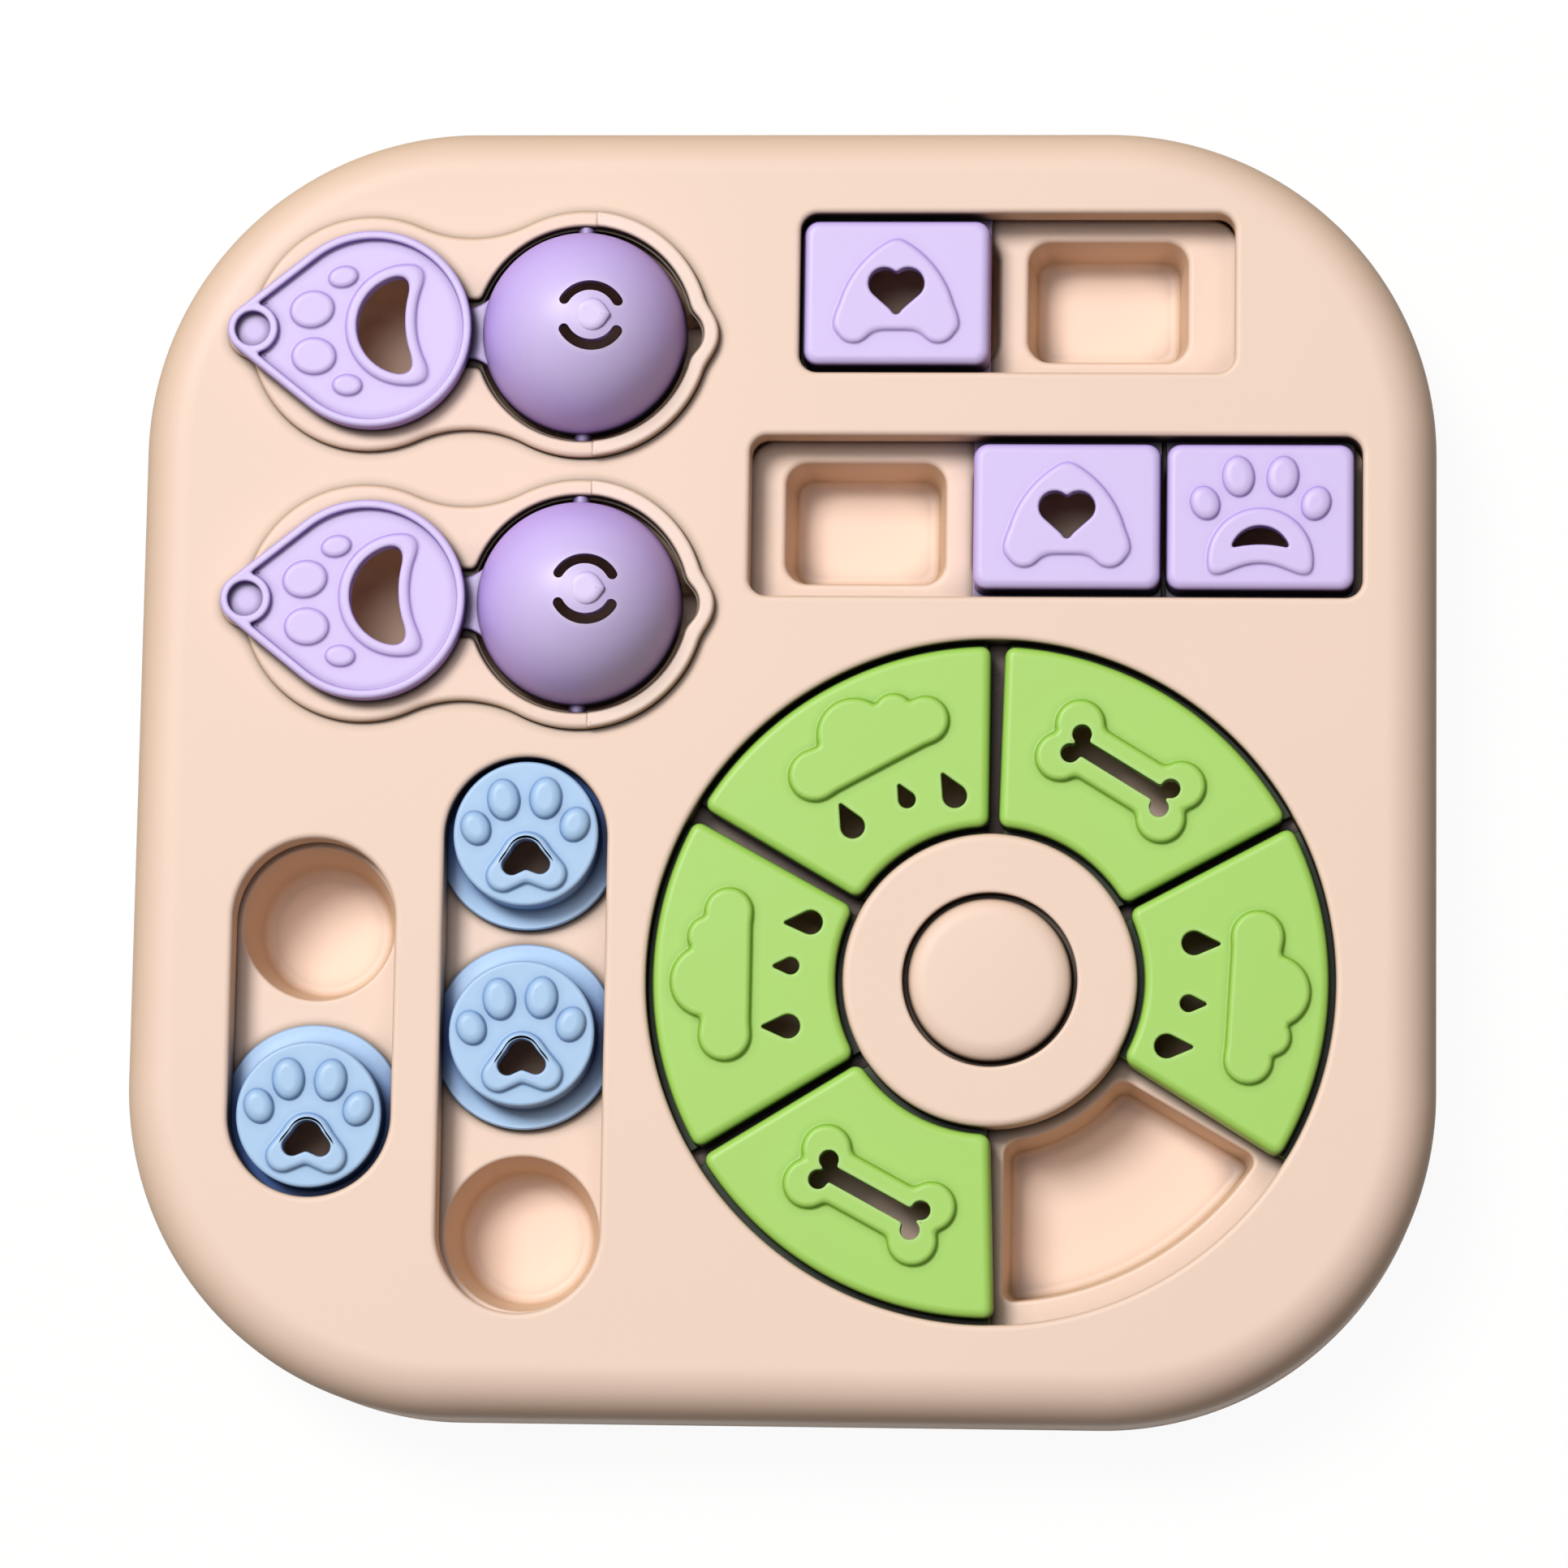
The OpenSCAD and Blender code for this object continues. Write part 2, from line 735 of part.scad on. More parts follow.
module bottom_pan() {
    color(beige)
        difference() {
            union() {
                sweep(tray_w, tray_d, corner_r)
                    pan_profile();
                translate([0, 0, pan_lift])
                    linear_extrude(pan_floor)
                        round_rect(tray_w - 2 * border, tray_d - 2 * border, corner_r - border);
                for (at = posts_at)
                    translate([at.x, at.y, pan_lift])
                        cylinder(r = post_r + 0.5, h = post_seat_z - pan_lift);
            }
            for (at = posts_at)
                translate([at.x, at.y, 0]) {
                    cylinder(r = screw_r + 0.3, h = through);
                    cylinder(r = screw_head_r + 0.4, h = head_z);
                }
            feet_places()
                cylinder(r = foot_r, h = pan_lift + foot_seat);
        }
}

// A rectangular treat well, cut down from a floor, that narrows towards its own floor
module block_well() {
    narrow = 0.86;
    rise = block_well_depth + join;
    translate([0, 0, floor_z - block_well_depth])
        linear_extrude(rise, scale = 1 + (1 / narrow - 1) * rise / block_well_depth)
            round_rect(narrow * block_well_l, narrow * block_well_d, 4, $fn = 24);
}

module block_tray(at, length, wells) {
    color(beige)
        translate([at.x, at.y, 0])
            difference() {
                translate([0, 0, pan_top])
                    linear_extrude(island_h)
                        round_rect(length + 2 * island_lap, slot_w + 2 * island_lap, island_r);
                for (x = wells)
                    translate([x, 0, 0])
                        block_well();
            }
}

module rear_block_tray() {
    block_tray(rear_slot_at, rear_slot_l, [for (k = [-0.5, 0.5]) k * block_pitch + rear_well_shift]);
}

module front_block_tray() {
    block_tray(front_slot_at, front_slot_l, [for (k = [-1:1]) k * block_pitch]);
}

// Half the section of a round treat well, with a fillet between its wall and its floor
module cup_section(top_r, floor_r, depth, fillet) {
    lean = atan2(depth, top_r - floor_r);
    difference() {
        polygon([[0, 0], [floor_r, 0], [top_r, depth], [top_r, depth + 1], [0, depth + 1]]);
        if (fillet > 0)
            difference() {
                polygon([
                    [floor_r - fillet, -1],
                    [floor_r + fillet, -1],
                    [floor_r + fillet, fillet * 0.8],
                    [floor_r - fillet, fillet * 0.8]
                ]);
                translate([floor_r - fillet * tan(lean / 2), fillet])
                    circle(fillet);
                translate([0, -1])
                    square([floor_r - fillet * tan(lean / 2), fillet + 1]);
            }
    }
}

module disc_tray(at, wells) {
    color(beige)
        translate([at.x, at.y, 0])
            difference() {
                translate([0, 0, pan_top])
                    linear_extrude(island_h)
                        stadium((len(wells) - 1) * disc_pitch + disc_slot_w + 2 * island_lap,
                            disc_slot_w + 2 * island_lap);
                for (y = wells)
                    translate([0, y, floor_z - disc_well_depth])
                        rotate_extrude()
                            cup_section(disc_well_r, disc_well_floor_r, disc_well_depth, disc_well_fillet);
            }
}

module left_disc_tray() {
    disc_tray(left_slot_at, [for (k = [-0.5, 0.5]) k * disc_pitch]);
}

module right_disc_tray() {
    disc_tray(right_slot_at, [for (k = [-1:1]) k * disc_pitch]);
}

module wedge_well() {
    narrow = 0.88;
    middle = (wedge_well_r0 + wedge_well_r1) / 2;
    rise = wedge_well_depth + join;
    translate([middle, 0, floor_z - wedge_well_depth])
        linear_extrude(rise, scale = 1 + (1 / narrow - 1) * rise / wedge_well_depth)
            scale(narrow)
                translate([-middle, 0])
                    polygon(sector_points(wedge_well_r0, wedge_well_r1, wedge_well_margin));
}

module hub_screw_places() {
    for (a = [90:120:330])
        rotate(a)
            translate([hub_screw_at, 0, 0])
                children();
}

module wheel_tray() {
    color(beige)
        translate([wheel_at.x, wheel_at.y, 0])
            difference() {
                union() {
                    translate([0, 0, pan_top])
                        cylinder(r = wheel_r + island_lap, h = island_h, $fn = 128);
                    translate([0, 0, pan_top])
                        cylinder(r = hub_post_r, h = rim_z - pan_top);
                }
                for (k = [0:5])
                    rotate(k * 2 * place_half)
                        wedge_well();
                translate([0, 0, squeaker_z])
                    cylinder(r = button_guide_r, h = through);
                translate([0, 0, squeaker_z - 4])
                    cylinder(r = reed_r, h = through);
                hub_screw_places() {
                    translate([0, 0, pan_top - 1])
                        cylinder(r = screw_head_r + 0.4, h = hub_screw_seat - pan_top + 1);
                    cylinder(r = screw_r + 0.3, h = through);
                }
            }
}

module hub_ring() {
    soft = 1.5;
    lip_z = button_low + button_flange_t + slide_gap;
    color(beige)
        translate([wheel_at.x, wheel_at.y, 0])
            difference() {
                rotate_extrude() {
                    translate([button_hole_r, lip_z])
                        square([hub_r - soft - button_hole_r, cover_top - lip_z]);
                    translate([button_guide_r, rim_z])
                        square([hub_r - button_guide_r, cover_top - soft - rim_z]);
                    translate([hub_r - soft, cover_top - soft])
                        circle(soft);
                }
                hub_screw_places()
                    cylinder(r = screw_r + screw_gap, h = hub_screw_seat + screw_l + 0.5);
            }
}

module squeak_button() {
    color(beige)
        translate([wheel_at.x, wheel_at.y, 0])
            difference() {
                rotate_extrude() {
                    translate([0, button_low])
                        square([button_r, button_top - button_edge_r - button_low]);
                    translate([0, button_top - button_edge_r])
                        square([button_r - button_edge_r, button_edge_r]);
                    intersection() {
                        translate([button_r - button_edge_r, button_top - button_edge_r])
                            circle(button_edge_r);
                        square([button_r, button_top]);
                    }
                    translate([0, button_low])
                        square([button_flange_r, button_flange_t]);
                }
                translate([0, 0, button_low - 1])
                    cylinder(r = button_r - slider_wall, h = button_top - slider_wall - 1 - button_low + 1);
            }
}

module squeaker_bulb() {
    top = button_top - slider_wall - 1;
    soft = bulb_edge_r;
    color(pale)
        translate([wheel_at.x, wheel_at.y, 0])
            difference() {
                rotate_extrude() {
                    translate([0, squeaker_z])
                        square([bulb_r - soft, top - squeaker_z]);
                    translate([0, squeaker_z + soft])
                        square([bulb_r, top - squeaker_z - 2 * soft]);
                    for (z = [squeaker_z + soft, top - soft])
                        intersection() {
                            translate([bulb_r - soft, z])
                                circle(soft);
                            square([bulb_r, button_top]);
                        }
                }
                translate([0, 0, squeaker_z - 1])
                    cylinder(r = reed_r, h = 3);
            }
}

module squeaker_reed() {
    color(pale)
        translate([wheel_at.x, wheel_at.y, squeaker_z - 4])
            difference() {
                cylinder(r = reed_r - screw_gap, h = 6);
                translate([0, 0, -1])
                    cylinder(r = reed_r / 2, h = 5);
            }
}

module screw(seat) {
    translate([0, 0, seat])
        cylinder(r = screw_r, h = screw_l - join);
    translate([0, 0, seat - screw_head_h])
        cylinder(r = screw_head_r, h = screw_head_h);
}

module cover_screws() {
    color(steel)
        for (at = posts_at)
            translate(at)
                screw(head_z);
}

module hub_screws() {
    color(steel)
        translate(wheel_at)
            hub_screw_places()
                screw(hub_screw_seat);
}

module rubber_feet() {
    color(black)
        feet_places()
            cylinder(r = foot_r, h = pan_lift + foot_seat);
}

// The tray under one lid: a bowl for the dome and a well under the plate
module lid_tray(at) {
    bowl_r = dome_r + bowl_gap;
    cup_depth = lid_seat_z - pan_top - cup_floor_t;
    web_w = 12;
    color(beige)
        translate([at.x, at.y, 0])
            difference() {
                union() {
                    translate([0, 0, pan_top])
                        cylinder(r = bowl_r + rim_t, h = lid_seat_z - pan_top);
                    translate([-plate_reach, 0, pan_top])
                        cylinder(r = cup_r + rim_t, h = lid_seat_z - pan_top);
                    translate([-plate_reach, -web_w / 2, pan_top])
                        cube([plate_reach, web_w, 6]);
                }
                translate([0, 0, pivot_z])
                    sphere(bowl_r);
                translate([-plate_reach, 0, pan_top + cup_floor_t])
                    cylinder(r1 = cup_floor_r, r2 = cup_r + (cup_r - cup_floor_r) * join / cup_depth,
                        h = cup_depth + join);
            }
}

module rear_lid_tray() {
    lid_tray(rear_lid_at);
}

module front_lid_tray() {
    lid_tray(front_lid_at);
}

// Moving pieces

module plate_outline(grow = 0) {
    bar([-plate_reach, 0], [-plate_reach - tip_reach, 0], plate_r + grow, tip_r + grow);
}

// The bean-shaped hole in a plate
module plate_hole(grow = 0) {
    difference() {
        translate([6.5, 0.5])
            circle(9.6 + grow);
        translate([25.5, 0.5])
            circle(18.8 - grow);
    }
}

module plate_toes() {
    for (s = [-1, 1]) {
        oval([-11.9, s * 4.8], [8.9, 7.5]);
        oval([-5.4, s * 11.1], [6, 4.3], s * 15);
    }
}

module lid_plate() {
    face_z = plate_z + plate_t - plate_recess;
    tip = [-plate_reach - tip_reach, 0, 0];
    difference() {
        union() {
            difference() {
                translate([0, 0, plate_z])
                    linear_extrude(plate_t)
                        plate_outline();
                translate([0, 0, face_z])
                    linear_extrude(through)
                        plate_outline(-plate_rim);
            }
            translate(tip + [0, 0, plate_z])
                cylinder(r = tip_r, h = plate_t);
            translate([-plate_reach, 0, face_z - join])
                rotate(lid_paw_turn)
                    linear_extrude(relief_h + join) {
                        plate_toes();
                        plate_hole(2.2);
                    }
        }
        translate(tip + [0, 0, face_z - 0.6])
            cylinder(r = tip_hole_r, h = through);
        translate([-plate_reach, 0, plate_z - 1])
            rotate(lid_paw_turn)
                linear_extrude(through)
                    plate_hole();
    }
}

// Two arcs round the pad on top of the dome, cut straight down
module air_slots() {
    mid_r = 6;
    half_w = 1.05;
    open = 60;
    translate([slots_shift, 0, dome_r / 2])
        for (turn = [90, 270])
            rotate(turn - open)
                rotate_extrude(angle = 2 * open)
                    translate([mid_r - half_w, 0])
                        square([2 * half_w, dome_r]);
}

module lid_dome() {
    difference() {
        union() {
            rotate_extrude($fn = 96) {
                intersection() {
                    difference() {
                        circle(dome_r);
                        circle(dome_r - dome_wall);
                    }
                    square(dome_r);
                }
                translate([dome_r - dome_wall, -dome_skirt])
                    square([dome_wall, dome_skirt]);
            }
            translate([slots_shift, 0, dome_r - 0.8 * dome_wall])
                cylinder(r = 3.5, h = 0.8 * dome_wall + 0.1);
            for (s = [-1, 1])
                rotate([-90 * s, 0, 0])
                    translate([0, 0, dome_r - dome_wall / 2])
                        cylinder(r = pin_r, h = dome_gap + pin_l + dome_wall / 2);
        }
        air_slots();
    }
}

module lid_neck() {
    inner = dome_r - 1;
    outer = plate_reach - plate_r + 1.2;
    low = cover_top + plate_gap;
    translate([-outer, -neck_w / 2, low])
        cube([outer - inner, neck_w, plate_z + plate_t - plate_recess - low]);
}

module flip_lid(at) {
    color(lilac)
        translate([at.x, at.y, 0]) {
            translate([0, 0, pivot_z])
                lid_dome();
            lid_plate();
            lid_neck();
        }
}

module rear_flip_lid() {
    flip_lid(rear_lid_at);
}

module front_flip_lid() {
    flip_lid(front_lid_at);
}

// A sliding block: a soft-edged shell with flanges at its front and back.
// The first child is its raised figure and the second is the hole through it.
module slide_block(x, y) {
    body_h = cover_top - flange_z;
    flange_d = slot_w + 2 * flange_lap;
    color(lilac)
        translate([x, y, flange_z])
            difference() {
                union() {
                    soft_slab(block_l, block_d, block_r, block_edge_r, body_h);
                    translate([-block_l / 2, -flange_d / 2, 0])
                        cube([block_l, flange_d, flange_t]);
                    translate([0, 0, body_h - join])
                        linear_extrude(relief_h + join)
                            children(0);
                }
                translate([slider_wall - block_l / 2, slider_wall - block_d / 2, -1])
                    cube([block_l - 2 * slider_wall, block_d - 2 * slider_wall, body_h - slider_wall + 1]);
                linear_extrude(through)
                    children(1);
            }
}

module rear_block() {
    slide_block(rear_block_x, rear_slot_at.y) {
        heart_pad();
        heart();
    }
}

module front_block_middle() {
    slide_block(front_middle_x, front_slot_at.y) {
        heart_pad();
        heart();
    }
}

module front_block_right() {
    slide_block(front_right_x, front_slot_at.y) {
        union() {
            paw_toes([4.4, 8.4], [11, 2.6]);
            block_palm();
        }
        palm_hole();
    }
}

// A sliding disc: a soft-edged cap with a round flange, a raised paw and a hole in its palm
module slide_disc(x, y) {
    body_h = cover_top - flange_z;
    color(sky)
        translate([x, y, flange_z])
            difference() {
                union() {
                    rotate_extrude() {
                        square([disc_flange_r, flange_t]);
                        square([disc_r, body_h - disc_edge_r]);
                        square([disc_r - disc_edge_r, body_h]);
                        intersection() {
                            translate([disc_r - disc_edge_r, body_h - disc_edge_r])
                                circle(disc_edge_r);
                            square([disc_r, body_h]);
                        }
                    }
                    translate([0, 0, body_h - join])
                        linear_extrude(relief_h + join) {
                            paw_toes([4.2, 6.9], [9.9, 1.4]);
                            translate([0, -5.4])
                                palm(1);
                        }
                }
                translate([0, 0, -1])
                    cylinder(r = disc_r - slider_wall, h = body_h - slider_wall + 1);
                translate([0, -4.65])
                    linear_extrude(through)
                        palm(0.6);
            }
}

module left_disc() {
    slide_disc(left_slot_at.x, left_slot_at.y - disc_pitch / 2);
}

module right_disc_rear() {
    slide_disc(right_slot_at.x, right_slot_at.y + disc_pitch);
}

module right_disc_middle() {
    slide_disc(right_slot_at.x, right_slot_at.y);
}

module wedge_ring(r0, r1, z0, z1, margin) {
    intersection() {
        translate([0, 0, z0])
            rotate_extrude($fn = 128)
                translate([r0, 0])
                    square([r1 - r0, z1 - z0]);
        linear_extrude(through)
            place_cut(margin);
    }
}

// A wheel wedge: a shell with inner and outer flanges.
// The first child is its raised figure and the second is the hole through it.
module wedge(place) {
    soft = wedge_edge_r;
    color(leaf)
        translate([wheel_at.x, wheel_at.y, 0])
            rotate(place)
                difference() {
                    union() {
                        wedge_ring(flange_r0, flange_r1, flange_z, flange_z + flange_t, wedge_side);
                        wedge_ring(wedge_r0, wedge_r1, flange_z, cover_top - soft, wedge_side);
                        wedge_ring(wedge_r0 + soft, wedge_r1 - soft, flange_z, cover_top, wedge_side + soft);
                        translate([0, 0, cover_top - join])
                            linear_extrude(relief_h + join)
                                children(0);
                    }
                    wedge_ring(wedge_r0 + slider_wall, wedge_r1 - slider_wall, flange_z - 1,
                        cover_top - slider_wall, wedge_side + slider_wall);
                    linear_extrude(through)
                        children(1);
                }
}

module cloud_wedge(place) {
    wedge(place) {
        cloud();
        drops();
    }
}

module bone_wedge(place) {
    bone_at = 48.7;
    wedge(place) {
        translate([bone_at, 0])
            bone(23.4, 7.6, 4.9, 11);
        translate([bone_at, 0])
            bone(20.6, 4.4, 1.9, 3.3);
    }
}

module wedge_right() {
    cloud_wedge(wedge_turns[0]);
}

module wedge_rear_right() {
    bone_wedge(wedge_turns[1]);
}

module wedge_rear_left() {
    cloud_wedge(wedge_turns[2]);
}

module wedge_left() {
    cloud_wedge(wedge_turns[3]);
}

module wedge_front_left() {
    bone_wedge(wedge_turns[4]);
}

top_cover();
bottom_pan();
rear_block_tray();
front_block_tray();
left_disc_tray();
right_disc_tray();
wheel_tray();
rear_lid_tray();
front_lid_tray();
rear_lid_seat();
front_lid_seat();
hub_ring();
squeaker_bulb();
squeaker_reed();
cover_screws();
hub_screws();
rubber_feet();
rear_flip_lid();
front_flip_lid();
rear_block();
front_block_middle();
front_block_right();
left_disc();
right_disc_rear();
right_disc_middle();
wedge_right();
wedge_rear_right();
wedge_rear_left();
wedge_left();
wedge_front_left();
squeak_button();
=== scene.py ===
"""Cat puzzle feeder: fine surfaces, materials, light and camera round the CAD frame.

Shapes are written in millimetres in the frame of the CAD part: X right, Y to the rear, Z up,
origin on the table under the middle of the tray. They are scaled to metres when a piece is made.
"""

import math

import bmesh
import bpy
import numpy as np
from mathutils import Matrix, Vector
from mathutils.geometry import tessellate_polygon


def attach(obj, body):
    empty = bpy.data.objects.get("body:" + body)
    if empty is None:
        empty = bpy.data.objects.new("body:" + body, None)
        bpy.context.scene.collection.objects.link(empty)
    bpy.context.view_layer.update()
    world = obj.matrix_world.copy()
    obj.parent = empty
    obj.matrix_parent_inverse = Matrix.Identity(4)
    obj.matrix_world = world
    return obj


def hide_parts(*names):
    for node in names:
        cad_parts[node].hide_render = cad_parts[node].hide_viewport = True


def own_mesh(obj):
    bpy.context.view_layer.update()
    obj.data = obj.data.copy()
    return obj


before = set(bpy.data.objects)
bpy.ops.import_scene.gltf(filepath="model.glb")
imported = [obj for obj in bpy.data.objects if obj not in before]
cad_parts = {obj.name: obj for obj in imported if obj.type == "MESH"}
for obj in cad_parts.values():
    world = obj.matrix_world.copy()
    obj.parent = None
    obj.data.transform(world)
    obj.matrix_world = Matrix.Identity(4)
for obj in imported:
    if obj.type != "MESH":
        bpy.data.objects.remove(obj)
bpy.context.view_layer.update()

MM = 0.001

# Heights: the cover and its rims, the trays' floor, the movers' flanges and hollows, the pan, the lids
COVER_TOP = 35.0
PANEL_Z = 32.6
RIM_Z = 28.5
FLOOR_Z = 26.0
WELL_FLOOR = 12.5
FLANGE_Z = 26.25
FLANGE_TOP = 28.25
HOLLOW_Z = 33.0
PAN_UNDER = 1.5
PAN_TOP = 4.0
SEAM_Z = 9.0
PLATFORM_Z = 37.0
LID_SEAT_Z = 30.0
PIVOT_Z = 34.5
PLATE_Z = 37.3

# Sizes: the tray, the wheel's opening, raised figures, the lids' domes and the cups under their plates
TRAY_W = 260
TRAY_R = 66
WHEEL_R = 68
RELIEF = 0.8
DOME_R = 20.6
DOME_INNER_R = 18.8
CUP_R = 14.0
PLATE_TURN = 3.5

# Places, those of plate and cup seen from the middle of the dome
PLATE_X = -42.4
CUP_X = -43.3
WHEEL = (42.0, -43.0)
REAR_LID = (-40.7, 86.5)
FRONT_LID = (-40.7, 31.5)
REAR_SLOT = (46.0, 95.5)
FRONT_SLOT = (54.0, 50.0)
LEFT_SLOT = (-92.5, -51.5)
RIGHT_SLOT = (-50.5, -54.5)
FEET = [(-84, -84), (-84, 84), (84, -84), (84, 84)]
POSTS = [
    (-102, -102), (102, -102), (102, 102), (-62.35, 118),
    (-118, 59), (-18.04, 59), (118, 13), (-20, -118),
]
WEDGES = {
    "wedge_right": (-1.8, "cloud"),
    "wedge_rear_right": (58.5, "bone"),
    "wedge_rear_left": (119.8, "cloud"),
    "wedge_left": (181.2, "cloud"),
    "wedge_front_left": (241.7, "bone"),
}


# Signed distances of flat shapes: negative inside, in millimetres

def disc(at, r):
    return lambda p: np.hypot(p[..., 0] - at[0], p[..., 1] - at[1]) - r


def slab(w, d, r, at=(0, 0)):
    def f(p):
        q = np.abs(p - np.array(at)) - np.array([w / 2 - r, d / 2 - r])
        out = np.maximum(q, 0)
        return np.hypot(out[..., 0], out[..., 1]) + np.minimum(q.max(-1), 0) - r
    return f


def bar(a, b, ra, rb):
    a = np.array(a, float)
    axis = np.array(b, float) - a
    h = np.linalg.norm(axis)
    axis = axis / h
    side = np.array([-axis[1], axis[0]])
    lean = (ra - rb) / h
    up = math.sqrt(1 - lean * lean)

    def f(p):
        q = p - a
        y = q @ axis
        x = np.abs(q @ side)
        k = up * y - lean * x
        near = np.hypot(x, y) - ra
        far = np.hypot(x, y - h) - rb
        return np.where(k < 0, near, np.where(k > up * h, far, up * x + lean * y - ra))
    return f


def spun(q, angle):
    """Points turned clockwise about the origin by an angle in degrees."""
    c = math.cos(math.radians(angle))
    s = math.sin(math.radians(angle))
    return np.stack([c * q[..., 0] + s * q[..., 1], c * q[..., 1] - s * q[..., 0]], -1)


def oval(at, size, turn=0.0):
    r = np.array(size, float) / 2

    def f(p):
        q = spun(p - np.array(at), turn)
        k0 = np.linalg.norm(q / r, axis=-1)
        k1 = np.linalg.norm(q / (r * r), axis=-1)
        return k0 * (k0 - 1) / np.maximum(k1, 1e-6)
    return f


def join(k, *parts):
    """Union with soft inner corners of size k."""
    def f(p):
        a = parts[0](p)
        for part in parts[1:]:
            b = part(p)
            h = np.maximum(k - np.abs(a - b), 0) / k
            a = np.minimum(a, b) - h * h * k / 4
        return a
    return f


def grown(f, d):
    return lambda p: f(p) - d


def outside(f):
    return lambda p: -f(p)


def common(k, *parts):
    """Intersection with soft corners of size k."""
    return outside(join(k, *[outside(part) for part in parts]))


def moved(f, at):
    return lambda p: f(p - np.array(at))


def turned(f, angle, at):
    at = np.array(at)
    return lambda p: f(spun(p - at, angle) + at)


def half_plane(nx, ny, reach):
    return lambda p: p[..., 0] * nx + p[..., 1] * ny - reach


def sector(r0, r1, margin, soft):
    """Part of a ring within 30 degrees of +X, with rounded corners."""
    c = math.cos(math.radians(30))

    def f(p):
        r = np.hypot(p[..., 0], p[..., 1])
        side = np.abs(p[..., 1]) * c - p[..., 0] * 0.5 + margin
        parts = np.stack([r - r1, r0 - r, side]) + soft
        out = np.sqrt((np.maximum(parts, 0) ** 2).sum(0))
        return out + np.minimum(parts.max(0), 0) - soft
    return f


# Outlines: closed loops that can be asked for at any offset

def settle(f, p, level, rounds=8):
    """Moves points along the slope of f until f has that level."""
    h = 1e-4
    p = p.copy()
    for _ in range(rounds):
        gx = (f(p + [h, 0]) - f(p - [h, 0])) / (2 * h)
        gy = (f(p + [0, h]) - f(p - [0, h])) / (2 * h)
        miss = np.clip(f(p) - level, -0.4, 0.4) / np.maximum(gx * gx + gy * gy, 0.25)
        p = p - np.stack([gx * miss, gy * miss], -1)
    return p


class Rounded:
    """A rounded rectangle or a stadium."""

    def __init__(self, w, d, r, at=(0, 0), n=12):
        self.w, self.d, self.r, self.c, self.n = w, d, r, at, n

    def at(self, d):
        r = max(self.r + d, 0.02)
        hx = self.w / 2 + d - r
        hy = self.d / 2 + d - r
        out = []
        for k, (sx, sy) in enumerate([(1, 1), (-1, 1), (-1, -1), (1, -1)]):
            x = self.c[0] + sx * hx
            y = self.c[1] + sy * hy
            for i in range(self.n + 1):
                a = math.radians(90 * k + 90 * i / self.n)
                out.append((x + r * math.cos(a), y + r * math.sin(a)))
        loop = np.array(out)
        if 2 * self.r < min(self.w, self.d):
            return loop
        # The ends of a stadium meet without a straight side between them, where points come twice
        gap = np.linalg.norm(loop - np.roll(loop, 1, axis=0), axis=1)
        return loop[gap > 1e-7]


def ring_of(r, at=(0, 0), n=64):
    """Loop of a circle."""
    a = np.arange(n) * 2 * math.pi / n
    return np.stack([at[0] + r * np.cos(a), at[1] + r * np.sin(a)], -1)


class Circle:
    def __init__(self, r, at=(0, 0), n=64):
        self.r, self.c, self.n = r, at, n

    def at(self, d):
        return ring_of(self.r + d, self.c, self.n)


class Traced:
    """The zero line of a signed distance, found on a grid and spaced evenly."""

    def __init__(self, f, low, high, step=0.25, space=0.35):
        self.f = f
        self.loop = self.even(self.trace(low, high, step), space)

    def trace(self, low, high, step):
        xs = np.arange(low[0], high[0] + step, step)
        ys = np.arange(low[1], high[1] + step, step)
        grid = np.stack(np.meshgrid(xs, ys, indexing="ij"), -1)
        v = self.f(grid)
        inside = v < 0
        count = inside[:-1, :-1].astype(int) + inside[1:, :-1] + inside[:-1, 1:] + inside[1:, 1:]
        links = {}
        for i, j in np.argwhere((count > 0) & (count < 4)):
            corner = [(i, j), (i + 1, j), (i + 1, j + 1), (i, j + 1)]
            leave = []
            enter = []
            for k in range(4):
                a = corner[k]
                b = corner[(k + 1) % 4]
                if inside[a] != inside[b]:
                    (leave if inside[a] else enter).append((min(a, b), max(a, b)))
            for s, e in zip(leave, enter):
                links[s] = e
        best = []
        while links:
            start = next(iter(links))
            path = [start]
            here = links.pop(start)
            while here != start and here in links:
                path.append(here)
                here = links.pop(here)
            if len(path) > len(best):
                best = path
        points = []
        for a, b in best:
            t = v[a] / (v[a] - v[b])
            points.append(grid[a] * (1 - t) + grid[b] * t)
        return np.array(points)

    def even(self, loop, space):
        for _ in range(3):
            loop = settle(self.f, loop, 0.0)
            closed = np.vstack([loop, loop[:1]])
            run = np.concatenate([[0], np.cumsum(np.linalg.norm(np.diff(closed, axis=0), axis=1))])
            n = max(24, int(run[-1] / space))
            at = np.arange(n) * run[-1] / n
            loop = np.stack([np.interp(at, run, closed[:, 0]), np.interp(at, run, closed[:, 1])], -1)
        return settle(self.f, loop, 0.0)

    def at(self, d):
        return self.loop if d == 0 else settle(self.f, self.loop, d, 14)


class Polar:
    """The zero line of a signed distance seen from a point inside it, at even angles."""

    def __init__(self, f, c, n=320, reach=45.0):
        self.f, self.c, self.n, self.reach = f, np.array(c, float), n, reach

    def at(self, d):
        a = np.arange(self.n) * 2 * math.pi / self.n
        ray = np.stack([np.cos(a), np.sin(a)], -1)
        low = np.zeros(self.n)
        high = np.full(self.n, self.reach)
        for _ in range(40):
            mid = (low + high) / 2
            far = self.f(self.c + ray * mid[:, None]) > d
            high = np.where(far, mid, high)
            low = np.where(far, low, mid)
        return self.c + ray * ((low + high) / 2)[:, None]


